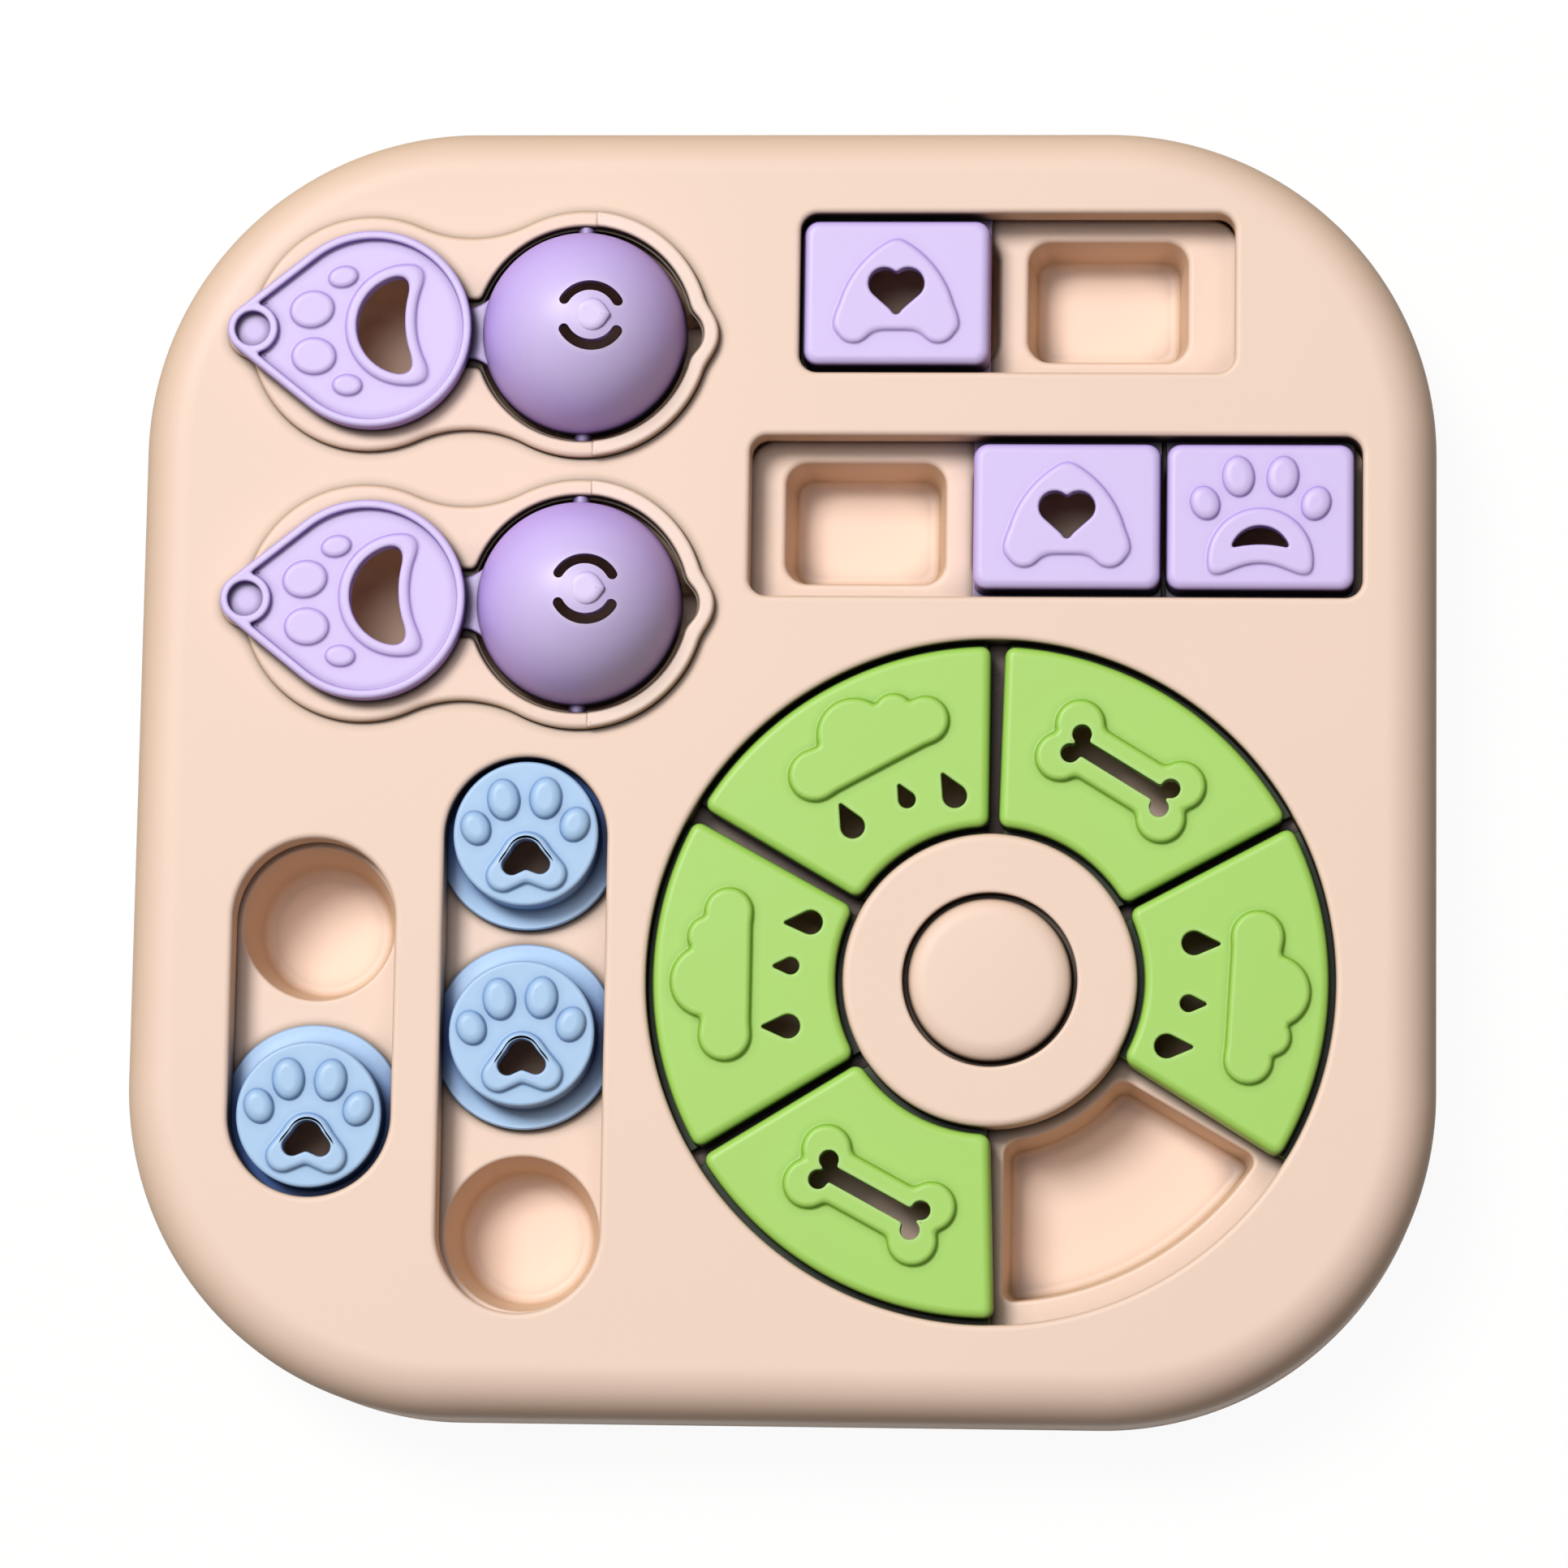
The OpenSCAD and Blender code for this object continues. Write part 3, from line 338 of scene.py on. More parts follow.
def curve(d, z, r, a0, a1, n=6):
    """Points of an arc in a profile of (offset, height)."""
    turns = [math.radians(a0 + (a1 - a0) * i / n) for i in range(n + 1)]
    return [(d + r * math.cos(a), z + r * math.sin(a)) for a in turns]


def quarter(d, z, across, up, n):
    """Points of a quarter of an ellipse in a profile of (offset, height), upright at its start."""
    turns = np.linspace(0, math.pi / 2, n)
    return [(d + across * (1 - math.cos(t)), z + up * math.sin(t)) for t in turns]


# Meshes

class Shape:
    """Points and faces of one piece, built from rings, walls between rings and flat caps."""

    def __init__(self):
        self.points = []
        self.faces = []

    def ring(self, loop, z):
        start = len(self.points)
        self.points += [(float(x), float(y), float(z)) for x, y in loop]
        return list(range(start, start + len(loop)))

    def ring3(self, points):
        start = len(self.points)
        self.points += [tuple(float(c) for c in p) for p in points]
        return list(range(start, start + len(points)))

    def wall(self, a, b):
        n = len(a)
        self.faces += [(a[i], a[(i + 1) % n], b[(i + 1) % n], b[i]) for i in range(n)]

    def chain(self, rings):
        """Walls between rings that follow each other. Returns the first and the last ring."""
        for a, b in zip(rings, rings[1:]):
            self.wall(a, b)
        return rings[0], rings[-1]

    def loft(self, outline, profile):
        """Rings of an outline along a profile of (offset, height)."""
        return self.chain([self.ring(outline.at(d), z) for d, z in profile])

    def stack(self, loops):
        """Rings from explicit loops with the same number of points."""
        return self.chain([self.ring(loop, z) for loop, z in loops])

    def lathe(self, profile, at=(0, 0), n=64):
        """Rings of a profile of (radius, height) about an upright axis."""
        return self.chain([self.ring(ring_of(r, at, n), z) for r, z in profile])

    def solid(self, outline, profile):
        """A loft with a flat cap at each end."""
        for ring in self.loft(outline, profile):
            self.cap(ring)

    def rod(self, sections):
        """Rings from points in space, with one flat face at each end."""
        for ring in self.chain([self.ring3(points) for points in sections]):
            self.faces.append(tuple(ring))

    def beside(self, ring, d):
        """A ring in the plane of another, by d inside it, joined to it by a narrow flat band."""
        p = np.array([self.points[i] for i in ring])
        along = np.roll(p, -1, 0) - np.roll(p, 1, 0)
        side = np.stack([-along[:, 1], along[:, 0]], -1)
        side /= np.maximum(np.linalg.norm(side, axis=1), 1e-9)[:, None]
        area = np.sum(p[:, 0] * np.roll(p[:, 1], -1) - p[:, 1] * np.roll(p[:, 0], -1))
        p[:, :2] += side * d * np.sign(area)
        new = self.ring3(p)
        self.wall(ring, new)
        return new

    def cap(self, outer, holes=()):
        """A flat face between a ring and the rings of its holes."""
        band = 0.08
        outer = self.beside(outer, band)
        holes = [self.beside(hole, -band) for hole in holes]
        order = [*outer]
        for hole in holes:
            order += hole
        lines = [[Vector((*self.points[i][:2], 0)) for i in loop] for loop in (outer, *holes)]
        for tri in tessellate_polygon(lines):
            self.faces.append(tuple(order[k] for k in tri))

    def spin(self, profile, at=(0, 0), n=64, closed=False):
        """Turns a profile about an upright axis. An open profile gets a flat cap at each end."""
        first, last = self.lathe(profile, at, n)
        if closed:
            self.wall(last, first)
        else:
            self.cap(first)
            self.cap(last)

    def place(self, at, turn=0.0, start=0):
        """Turns the points from number start on, and moves them."""
        c = math.cos(math.radians(turn))
        s = math.sin(math.radians(turn))
        for i in range(start, len(self.points)):
            x, y, z = self.points[i]
            self.points[i] = (at[0] + c * x - s * y, at[1] + s * x + c * y, z)


def make(name, shape, body, material, nodes, sharp=40):
    """One named piece that replaces CAD nodes and rides on a body."""
    mesh = bpy.data.meshes.new(name)
    mesh.from_pydata([(x * MM, y * MM, z * MM) for x, y, z in shape.points], [], shape.faces)
    bm = bmesh.new()
    bm.from_mesh(mesh)
    bmesh.ops.remove_doubles(bm, verts=bm.verts, dist=2e-6)
    bmesh.ops.dissolve_degenerate(bm, edges=bm.edges, dist=1e-6)
    bmesh.ops.recalc_face_normals(bm, faces=bm.faces)
    open_edges = sum(not e.is_manifold for e in bm.edges)
    if open_edges:
        print("open edges in", name, open_edges)
    bm.to_mesh(mesh)
    bm.free()
    mesh.shade_smooth()
    mesh.set_sharp_from_angle(angle=math.radians(sharp))
    mesh.materials.append(material)
    piece = bpy.data.objects.new(name, mesh)
    bpy.context.scene.collection.objects.link(piece)
    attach(piece, body)
    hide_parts(*nodes)
    return piece


# Materials

def linear(r, g, b):
    return tuple(c / 12.92 if c <= 0.04045 else ((c + 0.055) / 1.055) ** 2.4 for c in (r, g, b))


def plastic(name, colour, rough, crevice_shade_colour, shade_colour, bump=0.04, specular=0.4):
    """Moulded plastic with fine grain and a slow drift of colour and gloss.

    Convex edges are paler (partly wear, partly painted highlight); painted shade darkens faces turned from
    the camera, narrow hollows and crevices.
    """
    mat = bpy.data.materials.new(name)
    mat.use_nodes = True
    tree = mat.node_tree
    shader = tree.nodes["Principled BSDF"]

    def add(kind, **values):
        node = tree.nodes.new(kind)
        for key, value in values.items():
            setattr(node, key, value)
        return node

    def link(a, b):
        tree.links.new(a, b)

    def noise(scale, detail):
        node = add("ShaderNodeTexNoise")
        node.inputs["Scale"].default_value = scale
        node.inputs["Detail"].default_value = detail
        link(coords, node.inputs["Vector"])
        return node.outputs["Fac"]

    def occlusion(reach, **values):
        node = add("ShaderNodeAmbientOcclusion", **values)
        node.inputs["Distance"].default_value = reach
        return node.outputs["AO"]

    def ramp(value, low, high, first=0.0, last=1.0):
        node = add("ShaderNodeMapRange")
        for key, number in (("From Min", low), ("From Max", high), ("To Min", first), ("To Max", last)):
            node.inputs[key].default_value = number
        link(value, node.inputs["Value"])
        return node.outputs["Result"]

    def blend(factor, a, b):
        """Mix of two colours, each a tuple or the output of a node."""
        node = add("ShaderNodeMix", data_type="RGBA")
        link(factor, node.inputs["Factor"])
        for key, value in (("A", a), ("B", b)):
            if isinstance(value, tuple):
                node.inputs[key].default_value = (*value, 1)
            else:
                link(value, node.inputs[key])
        return node.outputs["Result"]

    own = linear(*colour)
    dull = tuple(c * 0.965 for c in own)
    bright = tuple(min(c * 1.03, 1) for c in own)
    edge_wear_and_highlight = tuple(c + (1 - c) * 0.5 for c in own)
    # Colour of the painted shade laid in narrow hollows.
    lines = tuple(c * 0.45 for c in linear(*shade_colour))
    coords = add("ShaderNodeTexCoord").outputs["Object"]
    drift = noise(22, 3)
    # Convex edges turn paler: partly wear, partly a painted highlight on their rounding.
    edges = ramp(occlusion(0.0012, samples=4, inside=True, only_local=True), 0.95, 0.5, 0.0, 0.28)
    # Painted shade: faces turned away from the camera take the darker shade colour.
    facing_shade_mask = ramp(add("ShaderNodeLayerWeight").outputs["Facing"], 0.1, 0.8)
    # Painted shade in narrow hollows and at the feet of raised figures, from near occlusion.
    groove_shade_mask = ramp(occlusion(0.0022, samples=6), 0.45, 0.93)
    # Painted shade in crevices, gaps and wells, from wider occlusion.
    depth = ramp(occlusion(0.009, samples=8), 0.12, 0.72)
    paint = blend(drift, dull, bright)
    paint = blend(edges, paint, edge_wear_and_highlight)
    paint = blend(facing_shade_mask, paint, linear(*shade_colour))
    paint = blend(groove_shade_mask, lines, paint)
    paint = blend(depth, linear(*crevice_shade_colour), paint)
    link(paint, shader.inputs["Base Color"])
    link(ramp(drift, 0.0, 1.0, rough - 0.06, rough + 0.06), shader.inputs["Roughness"])
    grain = add("ShaderNodeBump")
    grain.inputs["Strength"].default_value = bump
    grain.inputs["Distance"].default_value = 0.0002
    link(noise(950, 2), grain.inputs["Height"])
    link(grain.outputs["Normal"], shader.inputs["Normal"])
    shader.inputs["Specular IOR Level"].default_value = specular
    return mat


# After the colour and roughness: painted shade colour for crevices, then painted shade colour for turned
# faces and hollows.
BEIGE = plastic("beige_plastic", (0.955, 0.842, 0.765), 0.5, (0.16, 0.08, 0.05), (0.865, 0.74, 0.615))
LILAC = plastic("lilac_plastic", (0.85, 0.78, 0.965), 0.42, (0.08, 0.04, 0.12), (0.76, 0.64, 0.96))
BLUE = plastic("blue_plastic", (0.67, 0.80, 0.935), 0.40, (0.18, 0.31, 0.56), (0.56, 0.71, 0.90))
GREEN = plastic("green_plastic", (0.665, 0.853, 0.385), 0.42, (0.02, 0.09, 0.01), (0.58, 0.80, 0.28))
WHITE = plastic("white_plastic", (0.93, 0.92, 0.89), 0.45, (0.2, 0.18, 0.15), (0.84, 0.82, 0.78))
RUBBER = plastic("squeaker_rubber", (0.88, 0.86, 0.82), 0.6, (0.2, 0.18, 0.15), (0.78, 0.75, 0.7), 0.1)
FOOT = plastic("foot_rubber", (0.20, 0.20, 0.21), 0.7, (0.02, 0.02, 0.02), (0.17, 0.17, 0.18), 0.2)
STEEL = plastic("screw_steel", (0.72, 0.72, 0.74), 0.32, (0.1, 0.1, 0.1), (0.66, 0.66, 0.68), 0.05, 0.5)
STEEL.node_tree.nodes["Principled BSDF"].inputs["Metallic"].default_value = 1.0


# Parts of a piece that recur

def soft_hole(shape, outline, top, low, r=0.5):
    """A hole with a rounded upper edge. Returns its rings in the upper and the lower cap."""
    profile = [(r + 0.2, top)] + curve(r, top - r, r, 90, 180, 5) + [(0, low), (0.3, low)]
    return shape.loft(outline, profile)


# Slopes of raised figures, for a figure that is RELIEF high
SLOPE = [(0.55, 0), (0.35, 0), (0.12, 0.08), (0, 0.26), (-0.14, 0.48), (-0.38, 0.67), (-0.7, 0.77),
         (-1.0, 0.8), (-1.2, 0.8)]
PILLOW = [(0.4, 0), (0.25, 0), (0.1, 0.08), (-0.05, 0.3), (-0.3, 0.52), (-0.7, 0.67), (-1.2, 0.76),
          (-1.8, 0.8)]


def raised(shape, outline, z, holes=(), top=RELIEF, steps=SLOPE):
    """A raised figure with soft slopes. Returns its ring in the cap it stands on."""
    first, last = shape.loft(outline, [(d, z + h * top / RELIEF) for d, h in steps])
    shape.cap(last, holes)
    return first


def slot_edge(shape, outline, r=1.1):
    """The rim of an opening of the cover. Returns its rings in the top and the under face."""
    profile = [(r + 0.35, COVER_TOP)] + curve(r, COVER_TOP - r, r, 90, 180, 6)
    profile += [(0, RIM_Z + 0.3), (0.3, RIM_Z), (1.3, RIM_Z), (1.6, RIM_Z + 0.3)]
    profile += [(1.6, PANEL_Z), (1.9, PANEL_Z)]
    return shape.loft(outline, profile)


# Top cover

def platform_shape():
    """Platform under a lid: two circles with a waist, a tip at the left and a bulge at the right."""
    reach = -CUP_X
    left_r = 24.0
    right_r = 25.2
    waist_r = 25.0
    a = left_r + waist_r
    b = right_r + waist_r
    along = (reach * reach + a * a - b * b) / (2 * reach)
    aside = math.sqrt(a * a - along * along)
    left = disc((-reach, 0), left_r)
    right = disc((0, 0), right_r)
    tip = disc((-reach - 23.7, 0), 5.1)
    bulge = disc((DOME_R, 0), 6.5)

    def waisted(p):
        x = p[..., 0]
        y = np.abs(p[..., 1])
        t = y / aside
        between = (x > -reach + t * along) & (x < t * (along - reach)) & (t < 1)
        waist = waist_r - np.hypot(x - (along - reach), y - aside)
        return np.where(between, waist, np.minimum(left(p), right(p)))
    return join(2.0, waisted, tip, bulge)


def lid_mouth(r, channel, notch):
    """Opening of a seat for the dome, with the neck's channel on the left and the notch on the right."""
    notch_r = 5.0
    parts = [disc((0, 0), r), disc((notch - notch_r, 0), notch_r)]
    if channel:
        parts.append(slab(26.2, 13.6, 0.8, (-13.1, 0)))
    return join(1.2, *parts)


def lid_seat(at):
    """Platform on the cover with two tubes that hang through the cover, and a lip round the right half."""
    shape = Shape()
    around = platform_shape()
    mouth = lid_mouth(21.9, True, 24.0)
    ledge_z = 35.1
    tube_z = LID_SEAT_Z + 0.2
    profile = [(-0.15, COVER_TOP), (0, 35.2), (0, 35.85)] + curve(-1.1, 35.9, 1.1, 0, 90, 6)
    under, edge = shape.loft(Traced(around, (-76, -29), (30, 29), 0.5, 0.8), profile + [(-1.4, PLATFORM_Z)])
    brink = [(1.0, PLATFORM_Z)] + curve(0.8, PLATFORM_Z - 0.8, 0.8, 90, 180, 5)
    upper, ledge = shape.loft(Traced(mouth, (-30, -26), (28, 26), 0.4, 0.5), brink + [(0, ledge_z)])
    inner = Traced(lid_mouth(21.5, False, 23.6), (-26, -26), (28, 26), 0.4, 0.5)
    step, bottom = shape.loft(inner, [(0, ledge_z), (0, tube_z), (0.2, LID_SEAT_Z)])
    shape.cap(ledge, [step])
    foot, root = shape.loft(Circle(24.8, n=128), [(-0.2, LID_SEAT_Z), (0, tube_z), (0, COVER_TOP)])
    shape.cap(foot, [bottom])
    tube = [(0, tube_z), (0.2, LID_SEAT_Z), (1.4, LID_SEAT_Z), (1.6, tube_z), (1.6, COVER_TOP)]
    cup, cup_root = shape.loft(Circle(CUP_R, (CUP_X, 0), 96), brink + tube)
    shape.cap(edge, [upper, cup])
    shape.cap(under, [root, cup_root])
    lip = common(0.6, grown(around, -0.06), outside(grown(mouth, 0.06)), half_plane(-1, 0, -2.0))
    profile = [(0, 35.6), (0, 36.7)] + curve(-0.75, 36.75, 0.75, 10, 90, 5) + [(-0.8, 37.5)]
    shape.solid(Traced(lip, (0, -29), (30, 29), 0.2, 0.4), profile)
    shape.place(at)
    return shape


def top_cover():
    """Shell with rounded sides, rimmed openings, holes for the lids' seats, and screw posts."""
    shape = Shape()
    profile = [(-10.6, PANEL_Z)] + curve(-10, 25, 7.6, 90, 0, 10)
    profile += [(-2.4, SEAM_Z + 0.3), (-2.1, SEAM_Z), (-0.45, SEAM_Z)]
    profile += curve(-0.45, SEAM_Z + 0.45, 0.45, -60, 0, 3)
    profile += curve(-10, 25, 10, 0, 90, 18) + [(-10.6, COVER_TOP)]
    under, top = shape.loft(Rounded(TRAY_W, TRAY_W, TRAY_R, n=48), profile)
    top_holes = []
    under_holes = []
    for outline in (
        Rounded(87, 32.5, 3.5, REAR_SLOT),
        Rounded(122, 32.5, 3.5, FRONT_SLOT),
        Rounded(32.4, 71.4, 16.2, LEFT_SLOT, 24),
        Rounded(32.4, 110.4, 16.2, RIGHT_SLOT, 24),
        Circle(WHEEL_R, WHEEL, 192),
    ):
        a, b = slot_edge(shape, outline)
        top_holes.append(a)
        under_holes.append(b)
    for x, y in (REAR_LID, FRONT_LID):
        for outline in (Circle(25.35, (x, y), 128), Circle(15.75, (x + CUP_X, y), 96)):
            a, b = shape.loft(outline, [(0, COVER_TOP), (0, PANEL_Z)])
            top_holes.append(a)
            under_holes.append(b)
    # The posts are closed shells that reach up into the panel
    post = [(-0.3, 33.5), (0, 33.2), (0, 8.3), (-0.3, 8), (-2.8, 8), (-3.0, 8.2), (-3.0, 18)]
    for at in POSTS:
        shape.solid(Circle(4.5, at, 32), post)
    shape.cap(top, top_holes)
    shape.cap(under, under_holes)
    return shape


def bottom_pan():
    """Pan with a lip inside the cover's wall, screw bosses and seats for the feet."""
    shape = Shape()
    profile = [(-3.6, PAN_UNDER)] + curve(-3, 4.5, 3, -90, 0, 8)
    profile += curve(-0.45, SEAM_Z - 0.45, 0.45, 0, 90, 4)
    profile += [(-2.6, SEAM_Z), (-2.6, 12.6), (-3.0, 13.0), (-3.9, 13.0), (-4.2, 12.7), (-4.2, 5.0)]
    profile += curve(-5.2, 5.0, 1.0, 0, -90, 4) + [(-5.6, PAN_TOP)]
    under, top = shape.loft(Rounded(TRAY_W, TRAY_W, TRAY_R, n=48), profile)
    top_holes = []
    under_holes = []
    boss = [(0.5, PAN_UNDER), (0.3, PAN_UNDER), (0, 1.8), (0, 4.5), (-1.55, 4.5), (-1.55, 8)]
    boss += [(1.4, 8), (1.7, 7.7), (1.7, PAN_TOP), (2.0, PAN_TOP)]
    for at in POSTS:
        low, high = shape.loft(Circle(3.3, at, 40), boss)
        under_holes.append(low)
        top_holes.append(high)
    for at in FEET:
        low, seat = shape.loft(Circle(7.05, at, 48), [(0.4, PAN_UNDER), (0.2, PAN_UNDER), (0, 1.7), (0, 2.5)])
        shape.cap(seat)
        under_holes.append(low)
    shape.cap(under, under_holes)
    shape.cap(top, top_holes)
    return shape


# Trays under the openings

def island(shape, outline, r=0.6):
    """Sides and underside of a tray. Returns the ring of its floor."""
    profile = [(-0.4, PAN_TOP), (0, PAN_TOP)] + curve(-r, FLOOR_Z - r, r, 0, 90, 4) + [(-r - 0.15, FLOOR_Z)]
    low, top = shape.loft(outline, profile)
    shape.cap(low)
    return top


def well_side(edge, inset, fillet):
    """Inset and height down a well: a rounded edge, a slanting side, a fillet and the floor."""
    steps = curve(-edge, FLOOR_Z - edge, edge, 90, 0, 6)
    steps += quarter(inset, WELL_FLOOR + fillet, fillet, -fillet, 7)
    return steps + [(inset + fillet + 0.3, WELL_FLOOR)]


def block_tray(at, length, wells):
    shape = Shape()
    top = island(shape, Rounded(length + 2, 34.5, 7, at, 10))
    holes = []
    for x in wells:
        loops = []
        for inset, z in [(-1.4, FLOOR_Z)] + well_side(1.1, 1.5, 2.0):
            r = 4.4 - 0.55 * inset
            outline = Rounded(32 - 2 * inset, 24.6 - 2 * inset, r, (at[0] + x, at[1]), 10)
            loops.append((outline.at(0), z))
        rim, floor = shape.stack(loops)
        shape.cap(floor)
        holes.append(rim)
    shape.cap(top, holes)
    return shape


def disc_tray(at, wells):
    shape = Shape()
    top = island(shape, Rounded(34.4, 39 * (len(wells) - 1) + 34.4, 17.2, at, 24), 0.35)
    holes = []
    well = [(16.1, FLOOR_Z)] + curve(16.0, 25.3, 0.7, 90, 180, 5)
    well += [(13.4, 13.6), (13.15, 12.5), (12.6, 11.6), (11.8, 11.1), (11.0, 11.0)]
    for y in wells:
        rim, floor = shape.lathe(well, (at[0], at[1] + y), 72)
        shape.cap(floor)
        holes.append(rim)
    shape.cap(top, holes)
    return shape


def wheel_tray():
    """Floor under the wheel with six wells, and the hub post with the squeaker's seat."""
    shape = Shape()
    top = island(shape, Circle(69, n=192))
    holes = []
    for k in range(6):
        start = len(shape.points)
        loops = []
        for inset, z in [(-1.0, FLOOR_Z)] + well_side(0.8, 1.1, 1.8):
            f = sector(31.5 + inset, 63 - inset, 3 + inset, max(2.4 - 0.35 * inset, 1.2))
            loops.append((Polar(f, (47.5, 0), 300).at(0), z))
        rim, floor = shape.stack(loops)
        shape.cap(floor)
        shape.place((0, 0), 60 * k, start)
        holes.append(rim)
    post = [(26.5, FLOOR_Z), (26.1, FLOOR_Z), (25.85, 26.2), (25.8, 28.2), (25.5, RIM_Z), (19.3, RIM_Z),
            (19.0, 28.2), (19.0, 14.3), (18.7, 14.0), (3.55, 14.0), (3.55, 10.0)]
    foot, seat = shape.lathe(post, (0, 0), 96)
    shape.cap(seat)
    shape.cap(top, holes + [foot])
    shape.place(WHEEL)
    return shape


def lid_tray(at):
    """Bowl under a dome, cup under a plate and a web between the two."""
    shape = Shape()
    bowl_r = 22.0
    bowl = [(23.4, PAN_TOP), (23.6, 4.2), (23.6, 29.7), (23.3, LID_SEAT_Z), (21.8, LID_SEAT_Z)]
    brim = math.degrees(math.asin((PIVOT_Z - LID_SEAT_Z) / bowl_r))
    for a in np.linspace(brim + 1.0, 88, 24):
        a = math.radians(a)
        bowl.append((bowl_r * math.cos(a), PIVOT_Z - bowl_r * math.sin(a)))
    shape.spin(bowl, (0, 0), 96)
    # Under the seat's notch the bowl is cut down, so that the notch opens into the dark
    low_z = 22
    for i, (x, y, z) in enumerate(shape.points):
        if x > 4.5 * abs(y) and z > low_z:
            shape.points[i] = (x, y, low_z + 0.02 * (z - low_z))
    cup = [(15.4, PAN_TOP), (15.6, 4.2), (15.6, 29.8), (15.4, LID_SEAT_Z), (14.1, LID_SEAT_Z), (13.9, 29.6),
           (11.7, 17.0), (11.3, 15.2), (10.3, 13.8), (8.9, 13.1), (7.8, 13.0)]
    shape.spin(cup, (CUP_X, 0), 72)
    shape.solid(Rounded(8, 12, 0.5, (-25.5, 0), 3), [(-0.3, PAN_TOP), (0, 4.3), (0, 9.7), (-0.3, 10.0)])
    shape.place(at)
    return shape


# Wheel centre

def hub_ring():
    shape = Shape()
    profile = [(19.0, 28.8), (19.3, RIM_Z), (28.9, RIM_Z), (29.2, 28.8)] + curve(27.7, 33.5, 1.5, 0, 90, 8)
    profile += [(27.2, COVER_TOP), (18.1, COVER_TOP)] + curve(17.9, 34.3, 0.7, 90, 180, 5)
    profile += [(17.2, 31.95), (17.4, 31.75), (18.7, 31.75), (19.0, 31.5)]
    shape.spin(profile, WHEEL, 128, True)
    return shape


def squeak_button():
    shape = Shape()
    profile = [(13.6, 33.2), (14.1, 33.0), (14.3, 32.5), (14.3, 30.0), (17.9, 30.0), (18.1, 30.2)]
    profile += [(18.1, 31.3), (17.9, 31.5), (16.5, 31.5), (16.3, 31.7)]
    profile += quarter(16.3, 33.1, -4.2, 2.9, 12) + [(9.0, 36.1), (5.0, 36.17), (1.0, 36.2)]
    shape.spin(profile, WHEEL, 128)
    return shape


def squeaker_bulb():
    shape = Shape()
    profile = [(3.5, 16.0), (3.5, 14.0), (10, 14.0)] + curve(10, 17, 3, -90, 0, 8)[1:]
    profile += [(12.8, 20), (12.4, 23.6), (12.8, 27.2)] + curve(10, 30.2, 3, 0, 90, 8) + [(2, 33.2)]
    shape.spin(profile, WHEEL, 72)
    return shape


def squeaker_reed():
    shape = Shape()
    profile = [(1.75, 14.0), (1.75, 10.2), (1.95, 10.0), (3.25, 10.0), (3.45, 10.2), (3.45, 15.7)]
    profile += [(3.2, 16.0), (1.0, 16.0)]
    shape.spin(profile, WHEEL, 40)
    return shape


def cross(r, w):
    return join(0.25, slab(2 * r, w, 0.25), slab(w, 2 * r, 0.25))


def screws(places, seat):
    """Screws that point up, with a cross recess in heads that lie under the height seat."""
    shape = Shape()
    head = seat - 1.8
    profile = [(-0.55, head), (-0.4, head), (-0.12, head + 0.12), (0, head + 0.4), (0, seat - 0.1)]
    profile += [(-0.1, seat), (-1.45, seat), (-1.45, seat + 9.2), (-1.9, seat + 10.5)]
    drive = Traced(cross(1.7, 0.8), (-2.2, -2.2), (2.2, 2.2), 0.08, 0.12)
    for at in places:
        start = len(shape.points)
        low, tip = shape.loft(Circle(2.9, n=36), profile)
        shape.cap(tip)
        edge, floor = shape.loft(drive, [(0.05, head), (0, head + 0.05), (-0.1, head + 1.1)])
        shape.cap(floor)
        shape.cap(low, [edge])
        shape.place(at, 25, start)
    return shape


def rubber_feet():
    shape = Shape()
    profile = [(1.0, 0.35), (3.6, 0.35), (3.9, 0.25), (4.4, 0.0), (6.2, 0.0), (6.7, 0.15), (6.95, 0.5)]
    profile += [(7.0, 1.0), (7.0, 2.4), (6.9, 2.5), (1.0, 2.5)]
    for at in FEET:
        shape.spin(profile, at, 48)
    return shape


# Sliders

def heart():
    return join(0.7, *[bar((s * 2.4, 1.7), (0, -3.8), 3.2, 0.7) for s in (1, -1)])


def heart_pad():
    """A triangle with bulging sides and a soft tip, two lobes below and a shallow dip between them."""
    sides = common(1.6, disc((-9, -8), 21.2), disc((9, -8), 21.2), half_plane(0, -1, 7.0))
    lobes = [disc((s * 8.5, -7), 3.5) for s in (-1, 1)]
    return join(2.4, sides, *lobes, bar((-8.5, -5.5), (8.5, -5.5), 2.0, 2.0))


def palm(k):
    """Pad of a paw, k times its size on a disc."""
    return join(0.6 * k, *[bar((0, 0.7 * k), (s * 4.7 * k, -2.9 * k), 4.8 * k, 3.3 * k) for s in (1, -1)])


def toes(inner, outer):
    for s in (-1, 1):
        yield oval((s * inner[0], inner[1]), (6.3, 8.2), -s * 6)
        yield oval((s * outer[0], outer[1]), (5.7, 6.9), -s * 22)


def box_of(f, at, r):
    """The outline of a figure that lies within a square of half width r."""
    return Traced(f, (at[0] - r, at[1] - r), (at[0] + r, at[1] + r), 0.2, 0.3)


